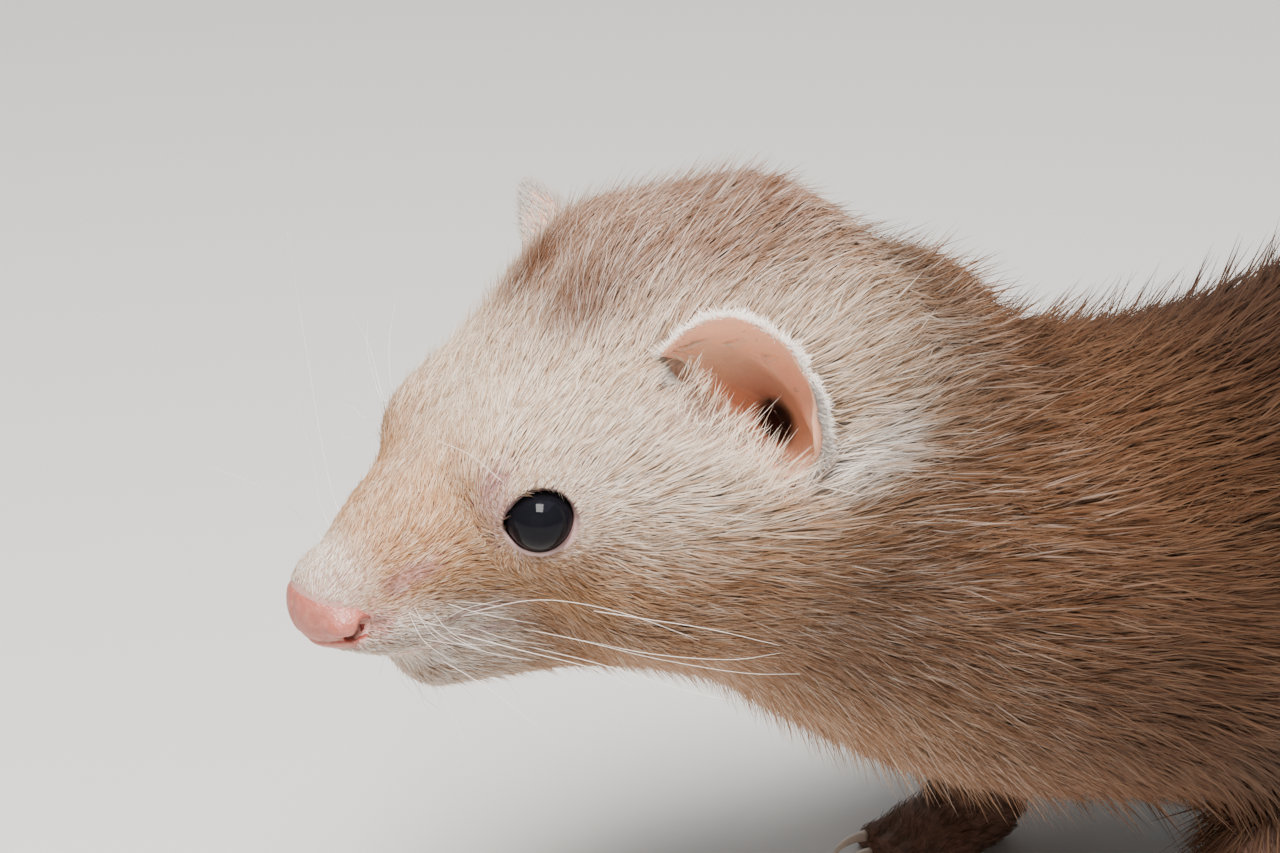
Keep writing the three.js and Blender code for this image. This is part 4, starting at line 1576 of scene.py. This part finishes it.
    def flatten(self, p: Array) -> Array:
        """The skin unrolled about its own length, from 0 to 1 each way.

        Args:
            p: Points in the unshifted row frame.

        Returns:
            A row of two for each point.
        """
        h = self.form.to_head(p)
        on_head = h[:, 0] > -20
        about_head = np.arctan2(np.abs(h[:, 1]), h[:, 2] + 2)
        about_body = np.arctan2(np.abs(p[:, 1]), p[:, 2] - 50)
        turn = np.where(on_head, about_head, about_body)
        along = np.where(on_head, h[:, 0], p[:, 0])
        raw = np.stack([along, turn], -1)
        low, high = raw.min(0), raw.max(0)
        return (raw - low) / (high - low + 1e-9)

    def build(self, points: Array, faces: Array, normals: Array, finish: bpy.types.Material) -> None:
        """Grows the whole coat over the skin, in pieces of no more tufts than the limit.

        Args:
            points: The skin's corners.
            faces: Its faces.
            normals: The normal at each corner.
            finish: The hair's material.
        """
        roots = self.sow(points, faces, normals)
        plot = self.plot_of(roots.place)
        head = self.form.to_head(roots.place)
        left = np.where(plot < 4, head[:, 1], roots.place[:, 1]) > 0
        for number, kind in enumerate(Plot):
            name, slot, two_sides = kind.value
            halves = (("_left", left), ("_right", ~left)) if two_sides else (("", plot == number),)
            for end, mine in halves:
                which = np.flatnonzero((plot == number) & mine)
                parts = max(1, math.ceil(len(which) / self.limit))
                LOG.info("coat %s%s: %d tufts", name, end, len(which))
                for part in range(parts):
                    mould = self.grow(roots.pick(which[part::parts]), 100 + 10 * number + part)
                    tail = f"_{part + 1}" if parts > 1 else ""
                    mould.cast(self.form, f"coat_{name}{end}{tail}", finish, slot)


# ---------------------------------------------------------------- sub-assemblies


@dataclass
class Skin:
    """The one skin under the coat, from the muzzle to the tail and the paws."""

    form: Form
    face_cell: float = 1.46
    neck_cell: float = 2.4
    body_cell: float = 4.0
    cross_cell: float = 1.5

    def build(self, finish: bpy.types.Material) -> tuple[Array, Array, Array]:
        """Makes the skin.

        Args:
            finish: Its material.

        Returns:
            Its corners, faces and corner normals, for the coat.
        """
        body, neck, face = (-412, -52), (-52, -24), (-24, 53)
        xs = ticks((*body, self.body_cell), (*neck, self.neck_cell), (*face, self.face_cell))
        ys = ticks((-38, 38, self.cross_cell))
        zs = ticks((-1.2, 122, self.cross_cell))
        points, faces = surface_of(self.form.skin, xs, ys, zs)
        points = settle(self.form.skin, points, 1, 0.5)
        points, faces = halve(points, faces)
        points = settle(self.form.skin, points, 2, 0.3)
        normals = unit(slopes(self.form.skin, points, 0.15))
        made = Mould(points, faces).cast(self.form, "skin", finish, "coat")
        limbs = [f"{limb.name}_{end}" for limb in self.form.limbs for end in ("leg", "paw")]
        trunk = ["head", "neck", "chest", "belly", "rump", "tail_root", "tail_end"]
        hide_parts(*trunk, *limbs)
        return points, faces, normals


@dataclass
class Nose:
    """The bare nose pad with its groove, its creases and curled nostrils."""

    form: Form
    cell: float = 0.42
    groove: float = 0.42
    crease: float = 0.26

    def shape(self, h: Array) -> Array:
        """Field of the nose in the head's frame.

        Args:
            h: Points in the head's frame.

        Returns:
            The value at each.
        """
        q = h.copy()
        q[:, 1] = np.abs(q[:, 1])
        y, z = q[:, 1], q[:, 2]
        bare = self.form.pad(q)
        d = self.form.head(q) - 0.02 + 0.5 * ramp(bare, -0.7, 0.5)
        d = blend(d, egg((46.9, 4.9, -6.3), (2.4, 1.8, 1.5))(q), 1.0)
        past = np.maximum(np.maximum(z + 3.8, -11.5 - z), 0.0)
        groove = np.sqrt(y**2 + (d - 0.22) ** 2 + past**2) - self.groove
        past = np.maximum(np.maximum(0.8 - y, y - 6.0), 0.0)
        crease = np.sqrt((z + 8.9 - 0.035 * y**2) ** 2 + d**2 + past**2) - self.crease
        d = carve(d, np.minimum(groove, crease), 0.5)
        d = carve(d, self.form.nostril(q), 0.4)
        return np.maximum(d, bare - 0.8)

    def build(self, finish: bpy.types.Material) -> None:
        """Makes the nose.

        Args:
            finish: Its material.
        """
        c = self.cell
        points, faces = surface_of(
            self.shape, ticks((39, 53, c)), ticks((-8.5, 8.5, c)), ticks((-13, -1, c))
        )
        points = settle(self.shape, points, 1, 0.2)
        points, faces = halve(points, faces)
        points = settle(self.shape, points, 2, 0.1)
        made = Mould(self.form.from_head(points), faces).cast(self.form, "nose_pad", finish, "nose")
        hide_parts("nose")


@dataclass
class Eyes:
    """Glossy dark eyeballs, each in an almond ring of lids."""

    form: Form
    around: int = 72
    outer: float = 5.6
    half_wide: float = 3.65
    half_high: float = 3.3
    cornea: float = 0.06
    hairs: int = 2400
    hair_ring: tuple[float, float] = (4.05, 5.8)
    seed: int = 31

    def basis(self, side: int) -> tuple[Array, Array, Array, Array]:
        """An eye's middle, the way it looks, and two axes across it.

        Args:
            side: 1 for the left side, -1 for the right.

        Returns:
            The middle, the look, and the axes ahead and up.
        """
        flip = np.array([1, side, 1])
        look = EYE_LOOKS * flip
        corner = np.array([1.0, 0, -0.25])
        ahead = unit(corner - (corner @ look) * look)
        return EYE_AT * flip, look, ahead, np.cross(look, ahead) * side

    def ball(self, side: int) -> Mould:
        """One eyeball with a slightly raised cornea.

        Args:
            side: 1 for the left side, -1 for the right.

        Returns:
            The eyeball.
        """
        at, look, ahead, up = self.basis(side)
        turn = 2 * math.pi * np.arange(self.around) / self.around
        rings = []
        for lat in np.linspace(0.0, math.pi, 40):
            rise = EYE_RADIUS * (math.cos(lat) + self.cornea * math.exp(-((lat / 0.6) ** 2)))
            ring = np.cos(turn)[:, None] * ahead + side * np.sin(turn)[:, None] * up
            rings.append(at + rise * look + EYE_RADIUS * math.sin(lat) * ring)
        mould = lofted(rings, closed=False)
        return Mould(self.form.from_head(mould.points), mould.faces[:, ::-1])

    def opening(self, turn: Array) -> Array:
        """The lids' inner edge as a distance from the eye's axis, drawn out at the inner corner.

        Args:
            turn: The angle about the eye's axis.

        Returns:
            The distance at each angle.
        """
        corner = np.exp(-(((turn + 0.35 + math.pi) % (2 * math.pi) - math.pi) / 0.36) ** 2)
        round_edge = 1 / np.sqrt((np.cos(turn) / self.half_wide) ** 2 + (np.sin(turn) / self.half_high) ** 2)
        return round_edge + 0.5 * corner

    def lids(self, side: int) -> Mould:
        """The lids of one eye, from the wet margin out into the skin.

        Args:
            side: 1 for the left side, -1 for the right.

        Returns:
            The lids.
        """
        at, look, ahead, up = self.basis(side)
        turn = 2 * math.pi * np.arange(self.around) / self.around
        ring = np.cos(turn)[:, None] * ahead + np.sin(turn)[:, None] * up
        inner = self.opening(turn)
        rings = []
        for share in np.linspace(0.0, 1.0, 18):
            wide = inner + (self.outer - inner) * share
            p = at + wide[:, None] * ring
            skin = self.height(p, look)
            ball = np.sqrt(np.maximum(EYE_RADIUS**2 - np.minimum(wide, 3.7) ** 2, 0.0))
            bead = 0.22 * math.exp(-(((share - 0.14) / 0.12) ** 2))
            crease = -0.10 * math.exp(-(((share - 0.5) / 0.1) ** 2))
            near = ball + 0.16 + bead
            weight = float(ramp(np.array(share), 0.05, 0.55))
            dip = 0.65 * float(ramp(np.array(share), 0.74, 1.0)) - 0.15
            high = near * (1 - weight) + (skin + bead * 0.4 + crease - dip) * weight
            if share == 0.0:
                high = ball - 0.5
            rings.append(p + high[:, None] * look)
        floor = [rings[-1] - 1.4 * look, rings[0] - 1.2 * look]
        mould = lofted([*rings, *floor], closed=True)
        faces = mould.faces if side > 0 else mould.faces[:, ::-1]
        return Mould(self.form.from_head(mould.points), faces)

    def lashes(self, side: int, finish: bpy.types.Material, name: str) -> None:
        """The short hair that grows over the outer lids of one eye, away from it.

        Args:
            side: 1 for the left eye.
            finish: The hair's material.
            name: The piece's name.
        """
        rng = np.random.default_rng(self.seed)
        n = self.hairs
        at, look, ahead, up = self.basis(side)
        turn, wide = rng.uniform(-math.pi, math.pi, n), rng.uniform(*self.hair_ring, (n, 1))
        out = np.cos(turn)[:, None] * ahead + np.sin(turn)[:, None] * up
        root = at + wide * out
        root = root + (self.height(root, look)[:, None] + 0.2) * look
        flow = np.array([-0.75, -0.1 * side, 0.25])
        inward = np.minimum((flow * out).sum(-1, keepdims=True), 0.0)
        way = unit(flow - inward * out + 0.35 * out + 0.14 * rng.normal(size=out.shape))
        long = rng.uniform(0.7, 1.1, (n, 1)) + 0.5 * (wide - 4.15)
        line = [root, root + way * long * BEND + 0.16 * look, root + way * long + 0.1 * look]
        tip = self.height(line[2], look)
        line[2] = line[2] + (0.15 + np.clip(tip, -0.3, 0.3))[:, None] * look
        strand = np.stack([rng.uniform(0.1, 0.9, n), np.zeros(n)], -1)
        flat = np.stack([turn / 7 + 0.5, wide[:, 0] / 6], -1)
        made = woven(line, rng.uniform(0.08, 0.13, n), unit(look + 0.3 * out), strand, flat)
        made.points = self.form.from_head(made.points)
        made.normals = made.normals @ self.form.turn.T
        made.cast(self.form, name, finish, "face")

    def height(self, p: Array, look: Array) -> Array:
        """How far along the look direction the skin lies from points.

        Args:
            p: Points in the unshifted row frame.
            look: The way the eye looks.

        Returns:
            The distance from each point.
        """
        t = np.full(len(p), 6.0)
        for _ in range(40):
            q = p + t[:, None] * look
            fold = q.copy()
            fold[:, 1] = np.abs(fold[:, 1])
            here = self.form.head(q) + self.form.depth(self.form.from_head(fold)) * 0.9
            t = t - np.clip(here, -0.5, 0.5)
        return t

    def build(self, hair: bpy.types.Material) -> None:
        """Makes both eyes, their lids and the hair on these.

        Args:
            hair: The hair's material.
        """
        gloss, rim = Plain.EYE.make(), LidFinish().make(self.form)
        for name, side in (("left", 1), ("right", -1)):
            ball = self.ball(side).cast(self.form, f"{name}_eyeball", gloss, "eye")
            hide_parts(f"{name}_eye")
            self.lids(side).cast(self.form, f"{name}_lids", rim, "face")
            self.lashes(side, hair, f"{name}_lid_hair")


@dataclass
class Ears:
    """The ears' thin dished cups with an inner fold, the canal left to painted shade in their finish."""

    form: Form
    shape: EarShape = EarShape()
    around: int = 96
    set_in: float = 1.1
    thick: float = 0.7

    def cup(self, side: int) -> Mould:
        """One cup.

        Args:
            side: 1 for the left side, -1 for the right.

        Returns:
            The cup.
        """
        downs = np.minimum(1 - np.linspace(0, 1, 24) ** 1.7, 0.985)
        outer = [self.shape.ring(float(d), -self.set_in, self.around) for d in downs]
        inner = []
        faces = self.shape.axes[2]
        for d in downs[::-1]:
            ring = self.shape.ring(float(d), -self.set_in - self.thick, self.around)
            q = (ring - np.array(self.shape.at)) @ self.shape.axes.T
            fold = np.exp(-(((q[:, 0] - 6.8) / 2.2) ** 2) - ((q[:, 1] + 6.0) / 3.4) ** 2)
            ridge = np.exp(-(((q[:, 0] - 4.4) / 1.3) ** 2) - ((q[:, 1] + 1.0) / 5.0) ** 2)
            inner.append(ring + (2.0 * fold + 0.9 * ridge)[:, None] * faces)
        lip = (outer[-1] + inner[0]) / 2 + 0.25 * faces
        poles = [r.mean(0) + 0 * r for r in (outer[0], inner[-1])]
        mould = lofted([poles[0], *outer, lip, *inner, poles[1]], closed=False)
        faces_out = mould.faces if side > 0 else mould.faces[:, ::-1]
        points = mould.points * np.array([1, side, 1])
        return Mould(self.form.from_head(points), faces_out)

    def build(self, finish: bpy.types.Material) -> None:
        """Makes both ears.

        Args:
            finish: Its material.
        """
        for name, side in (("left", 1), ("right", -1)):
            made = self.cup(side).cast(self.form, f"{name}_ear_cup", finish, "ear")
            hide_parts(f"{name}_ear")


class EarGrowth(Enum):
    """The ears' own hair: how many, two ranges of place, face, lengths, width and paleness.

    The ranges are turn and share of the depth on the cup. For the long hair before the ear they
    are how far up and how far back it grows, in the ear's own axes.
    """

    FRINGE = (5200, (-1.5, 2.6), (0.0, 0.09), -1.6, (1.0, 1.9), 0.11, 0.8)
    BACK = (2400, (-1.6, 2.0), (0.03, 0.5), -1.05, (1.8, 3.0), 0.15, 0.85)
    LONG = (620, (-13.5, 8.0), (-2.5, 1.3), 0.0, (4.5, 8.5), 0.10, 0.0)


@dataclass
class EarHair:
    """The fringe of the ears' rims, the short hair on their backs and the long hair before them."""

    form: Form
    shape: EarShape = EarShape()
    seed: int = 7

    def ahead(self, up: Array, back: Array) -> Array:
        """Places on the skin before the left ear, by how far up and back they lie in its frame.

        Args:
            up: How far up, in the ear's own axes.
            back: How far back, in the ear's own axes.

        Returns:
            The places.
        """
        axes = self.shape.axes
        start = np.array(self.shape.at) + 12.0 * axes[2]
        p = start + back[:, None] * axes[0] + up[:, None] * axes[1]
        for _ in range(30):
            under = self.form.head(p) + self.form.depth(self.form.from_head(p))
            p = p - np.clip(under, -0.8, 0.8)[:, None] * axes[2]
        return p

    def grown(self, kind: EarGrowth, rng: np.random.Generator) -> Mould:
        """One kind of the left ear's hair, in the head's frame.

        Args:
            kind: Which hair.
            rng: Makes the random draws.

        Returns:
            The hair.
        """
        count, turns, downs, offset, lengths, width, pale = kind.value
        turn, down = rng.uniform(*turns, count), rng.uniform(*downs, count)
        back, up, faces = self.shape.axes
        if kind is EarGrowth.LONG:
            root = self.ahead(turn, down)
            out = np.broadcast_to(back, root.shape)
            way = 0.9 * back + 0.42 * up + 0.10 * faces
        else:
            root = self.shape.spot(down, offset, turn)
            out = unit(self.shape.spot(down, offset + 0.5, turn) - root)
            higher = self.shape.spot(np.maximum(down - 0.05, 0.0), offset, turn)
            rim = unit(higher - root + 0.02 * out)
            if kind is EarGrowth.FRINGE:
                way = out + rng.uniform(0.1, 0.9, (count, 1)) * faces + 0.25 * back + 0.15 * up
            else:
                way = rim + 0.22 * out + 0.3 * back
        way = unit(unit(way) + 0.16 * rng.normal(size=root.shape))
        long = rng.uniform(*lengths, (count, 1))
        if kind is EarGrowth.LONG:
            long = long * (1 - 0.5 * ramp(turn, -2.0, 5.0))[:, None]
        bow = 0.12 * long * wobble(root, 4.0, 21)
        line = [root - 0.15 * way, root + way * long * BEND + 0.3 * bow, root + way * long + bow]
        if kind is EarGrowth.BACK:
            keep = self.form.head(line[2]) > 0.2
            line = [p[keep] for p in line]
            out, root, turn, down = out[keep], root[keep], turn[keep], down[keep]
        normal = unit(0.5 * out + faces + np.array([0.1, 0.5, 0.9]))
        n = len(root)
        strand = np.stack([rng.uniform(0.3, 0.9, n), np.full(n, pale)], -1)
        flat = np.stack([(turn + 2.0) / 7.0, down * 2.0], -1)
        return woven(line, width * rng.uniform(0.8, 1.2, n), normal, strand, flat)

    def build(self, finish: bpy.types.Material) -> None:
        """Grows both ears' hair.

        Args:
            finish: The hair's material.
        """
        for name, side in (("left", 1), ("right", -1)):
            rng = np.random.default_rng(self.seed)
            whole = joined([self.grown(kind, rng) for kind in EarGrowth])
            flip = np.array([1, side, 1])
            whole.points = self.form.from_head(whole.points * flip)
            whole.normals = whole.normals * flip @ self.form.turn.T
            whole.faces = whole.faces if side > 0 else whole.faces[:, ::-1]
            whole.cast(self.form, f"ear_hair_{name}", finish, "ear")


@dataclass
class Whiskers:
    """Whiskers on the muzzle, brow and chin, each a long tapered hair."""

    form: Form
    seed: int = 4
    thick: float = 0.048
    short: int = 12
    under_chin: int = 7
    swept: tuple[Sequence[tuple[float, float, float]], ...] = (
        (
            (27.0, 9.2, -13.1), (23.8, 16.0, -13.0), (17.3, 20.5, -15.9), (10.3, 27.1, -17.5),
            (5.3, 31.1, -17.8),
        ),
        ((26.6, 8.3, -15.8), (23.4, 18.5, -15.0), (17.8, 27.4, -16.5), (13.3, 31.9, -17.8)),
        ((22.3, 18.1, -8.8), (19.0, 23.6, -8.6), (14.3, 29.0, -9.3), (8.7, 33.3, -11.6)),
        ((21.9, 13.7, -14.7), (18.5, 21.6, -14.2), (12.6, 28.5, -14.1), (7.6, 31.1, -14.1)),
        ((37.6, 2.3, -17.4), (37.8, 7.0, -18.9), (37.6, 11.7, -24.3)),
        ((33.8, 9.0, -8.4), (28.9, 17.1, -5.0), (22.3, 22.9, -6.6), (16.3, 29.2, -9.7)),
        ((35.4, 7.8, -10.9), (32.5, 17.7, -9.7), (28.1, 25.4, -10.1), (25.0, 30.5, -11.7)),
        ((36.6, 5.2, -14.7), (35.5, 14.9, -15.0), (32.7, 24.9, -18.4)),
        ((29.4, 12.1, 8.5), (32.3, 12.1, 12.4), (35.3, 10.4, 14.7)),
        ((28.7, 12.1, 9.2), (27.3, 15.1, 16.1), (23.2, 17.5, 19.8)),
    )
    raised: tuple[Sequence[tuple[float, float, float]], ...] = (
        ((36.5, 9.0, -7.6), (37.4, 15.7, -3.7), (33.0, 27.0, 12.3), (31.5, 30.2, 23.0)),
        ((38.7, 8.8, -5.9), (39.7, 13.3, -3.6), (38.3, 17.4, 2.3), (37.5, 20.6, 8.2)),
        ((40.1, 8.7, -8.0), (41.8, 13.1, -4.4), (45.5, 14.6, 1.3), (52.2, 18.6, 6.1)),
        ((29.1, 12.2, 8.6), (29.7, 15.3, 6.8), (28.7, 20.0, 11.2), (29.4, 22.4, 14.5)),
        ((28.1, 12.1, 9.6), (28.9, 15.3, 7.8), (26.8, 20.9, 12.4), (24.0, 24.2, 16.1)),
        ((27.1, 12.1, 10.1), (27.3, 16.0, 7.8), (24.1, 21.2, 10.7), (19.4, 26.1, 14.4)),
        ((28.9, 12.9, 5.9), (30.4, 17.6, 3.9), (30.7, 19.4, 4.6), (31.6, 20.4, 5.3)),
        ((29.1, 12.6, 4.0), (30.4, 18.3, 1.7), (32.1, 21.6, 1.3), (34.2, 22.1, 0.4)),
    )

    def one(self, stops: Array, thick: float) -> Mould:
        """One whisker through a few places, on from its root in the skin.

        Args:
            stops: The places it runs through.
            thick: The radius at its root.

        Returns:
            The whisker.
        """
        root = settle(self.form.head, stops[:1], 10, 2.0)[0]
        start = root - 0.8 * unit(stops[1] - stops[0])
        path = bent([start, *stops[1:]], 20)
        t = np.linspace(0, 1, len(path))
        return tube(path, thick * (1.02 - t) ** 0.7 + 0.01, 6)

    def build(self) -> None:
        """Makes all whiskers as one piece for each side."""
        rng = np.random.default_rng(self.seed)
        hair = Plain.WHISKER.make()
        for name, side in (("left", 1), ("right", -1)):
            hairs = []
            kept = self.swept if side > 0 else (*self.raised, *self.swept[:2], *self.swept[4:8])
            for stops in kept:
                sway = rng.normal(size=3) * (0.0 if side > 0 else 1.0)
                places = np.array(stops) + np.linspace(0, 1, len(stops))[:, None] * sway
                hairs.append(self.one(places, self.thick * rng.uniform(0.8, 1.1)))
            for _ in range(self.short):
                root = np.array([rng.uniform(31, 41), 8.0, rng.uniform(-11.5, -5.5)])
                way = unit(np.array([-0.35, 0.75, rng.uniform(-0.5, 0.2)]) + 0.2 * rng.normal(size=3))
                long = rng.uniform(5, 11)
                bow = np.array([-0.3, -0.1, -0.1]) * long
                stops = np.array([root, root + way * long * 0.5, root + way * long + bow])
                hairs.append(self.one(stops, self.thick * 0.6))
            for _ in range(self.under_chin):
                root = np.array([rng.uniform(27, 39), rng.uniform(0.5, 4.0), -19.0])
                way = unit(np.array([rng.uniform(-0.6, 0.1), 0.3, -0.8]))
                long = rng.uniform(3, 6)
                stops = np.array([root, root + way * long * 0.5, root + way * long])
                stops[2, 0] -= 0.2 * long
                hairs.append(self.one(stops, self.thick * 0.6))
            whole = joined(hairs)
            points = whole.points * np.array([1, side, 1])
            faces = whole.faces if side > 0 else whole.faces[:, ::-1]
            Mould(self.form.from_head(points), faces).cast(
                self.form, f"whiskers_{name}", hair, "face"
            )


@dataclass
class Mouth:
    """The line of the lips."""

    form: Form
    thick: float = 0.30
    sunk: float = 0.62
    half_turn: float = 106.0
    count: int = 61

    def build(self) -> None:
        """Makes the lips' dark line as a thin rounded strip set in the skin."""
        out = []
        shares = np.linspace(-1, 1, self.count)
        for u in shares:
            angle = u * math.radians(self.half_turn)
            way = unit(np.array([math.cos(angle) * 0.9 + 0.1, math.sin(angle), 0.0]))
            start = np.array([33, 0, -12.2 + 2 * u * u])
            t = 0.0
            for _ in range(60):
                t -= float(self.form.head((start + way * t)[None])[0])
            out.append(start + way * (t - self.sunk))
        radii = self.thick * (1 - 0.75 * np.abs(shares) ** 6)
        mould = tube(np.array(out), radii, 10)
        Mould(self.form.from_head(mould.points), mould.faces).cast(
            self.form, "lip_line", Plain.LIP.make(), "face"
        )


@dataclass
class Claws:
    """The curved claws, one for each toe."""

    form: Form
    length: float = 6.5
    radius: float = 0.75

    def build(self) -> None:
        """Makes each paw's claws as one piece."""
        horn = Plain.CLAW.make()
        for limb in self.form.limbs:
            made = []
            for _, tip in limb.toes:
                start = tip + np.array([TOE_RADIUS * 0.5, 0, 1.1])
                mid = start + np.array([self.length * 0.6, 0, 0.9])
                end = np.array([start[0] + self.length * 0.95, start[1], 0.7])
                t = np.linspace(0, 1, 14)[:, None]
                path = (1 - t) ** 2 * start + 2 * t * (1 - t) * mid + t**2 * end
                made.append(tube(path, self.radius * (1 - t[:, 0]) ** 0.8 + 0.08, 12))
            piece = joined(made).cast(self.form, f"{limb.name}_claws", horn, "claw")
            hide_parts(*[f"{limb.name}_claw_{i + 1}" for i in range(TOES)])


@dataclass
class Stage:
    """The pale floor, the soft lights and the camera at the photograph's angle.

    The camera's place and axes are in the head's frame.
    """

    form: Form
    lens: float = 100.0
    sensor: float = 36.0
    camera_at: tuple[float, float, float] = (172.6239, 319.1467, 194.9792)
    camera_right: tuple[float, float, float] = (
        -0.851071784507596, 0.513545545326901, -0.10930594901446058,
    )
    camera_up: tuple[float, float, float] = (
        -0.32882521376248774, -0.3590274088248786, 0.8734834277229006,
    )
    floor_half: float = 3.0
    sky_strength: float = 0.22

    def floor(self) -> None:
        """A plain pale floor."""
        shop = Shop("floor_paint")
        grain = shop.noise(60.0, 4.0)
        shade = shop.mix(grain * 0.2, (0.74, 0.72, 0.69), (0.70, 0.68, 0.65))
        mesh = bpy.data.meshes.new("floor")
        half = self.floor_half
        corners = [(-half, -half, 0), (half, -half, 0), (half, half, 0), (-half, half, 0)]
        mesh.from_pydata(corners, [], [(0, 1, 2, 3)])
        mesh.materials.append(shop.finish(shade, {"Roughness": 0.8}))
        made = bpy.data.objects.new("floor", mesh)
        bpy.context.scene.collection.objects.link(made)

    def lamp(
        self, name: str, at: Sequence[float], size: float, power: float, tint: Colour
    ) -> None:
        """A square soft light that looks at the head.

        Args:
            name: The light's name.
            at: Where it hangs, in metres.
            size: The length of its sides.
            power: Its power in watts.
            tint: Its colour.
        """
        light = bpy.data.lights.new(name, "AREA")
        light.size, light.energy, light.color = size, power, tuple(tint)
        made = bpy.data.objects.new(name, light)
        made.location = at
        target = Vector(self.form.metres(self.form.from_head(np.array([[10.0, 5, 0]])))[0])
        made.rotation_euler = (target - Vector(at)).to_track_quat("-Z", "Y").to_euler()
        bpy.context.scene.collection.objects.link(made)

    def camera(self) -> None:
        """The camera where the photograph was taken from."""
        right, up = np.array(self.camera_right), np.array(self.camera_up)
        back = np.cross(right, up)
        at = self.form.metres(self.form.from_head(np.array([self.camera_at])))[0]
        turn = self.form.turn @ np.stack([right, up, back], -1)
        data = bpy.data.cameras.new("camera")
        data.lens, data.sensor_width = self.lens, self.sensor
        data.clip_start, data.clip_end = 0.01, 20.0
        made = bpy.data.objects.new("camera", data)
        made.matrix_world = Matrix(np.vstack([np.column_stack([turn, at]), [0, 0, 0, 1]]).tolist())
        bpy.context.scene.collection.objects.link(made)
        bpy.context.scene.camera = made

    def build(self) -> None:
        """Makes the floor, lights, sky and camera."""
        self.floor()
        self.lamp("key", (0.38, 0.26, 0.80), 0.34, 18.5, (1.0, 0.95, 0.90))
        self.lamp("top", (-0.15, 0.45, 1.9), 1.6, 14.0, (0.84, 0.92, 1.0))
        self.lamp("fill", (0.9, 0.7, 0.35), 1.0, 1.2, (1.0, 0.93, 0.86))
        self.lamp("rim", (-0.4, -0.9, 0.9), 1.0, 3.0, (0.95, 0.97, 1.0))
        world = bpy.data.worlds.new("sky")
        world.use_nodes = True
        sky = world.node_tree.nodes["Background"]
        sky.inputs["Color"].default_value = (0.80, 0.79, 0.78, 1.0)
        sky.inputs["Strength"].default_value = self.sky_strength
        bpy.context.scene.world = world
        self.camera()


def main() -> None:
    """Builds the animal, piece by piece."""
    logging.basicConfig(level=logging.INFO, format="%(message)s")
    form = Form()
    Stage(form).build()
    points, faces, normals = Skin(form).build(SkinFinish().make(form))
    Nose(form).build(NoseFinish().make(form))
    hair = CoatFinish().make(form)
    Eyes(form).build(hair)
    Ears(form).build(EarFinish().make(form))
    Mouth(form).build()
    Claws(form).build()
    Whiskers(form).build()
    EarHair(form).build(hair)
    Coat(form).build(points, faces, normals, hair)


if __name__ == "__main__":
    main()
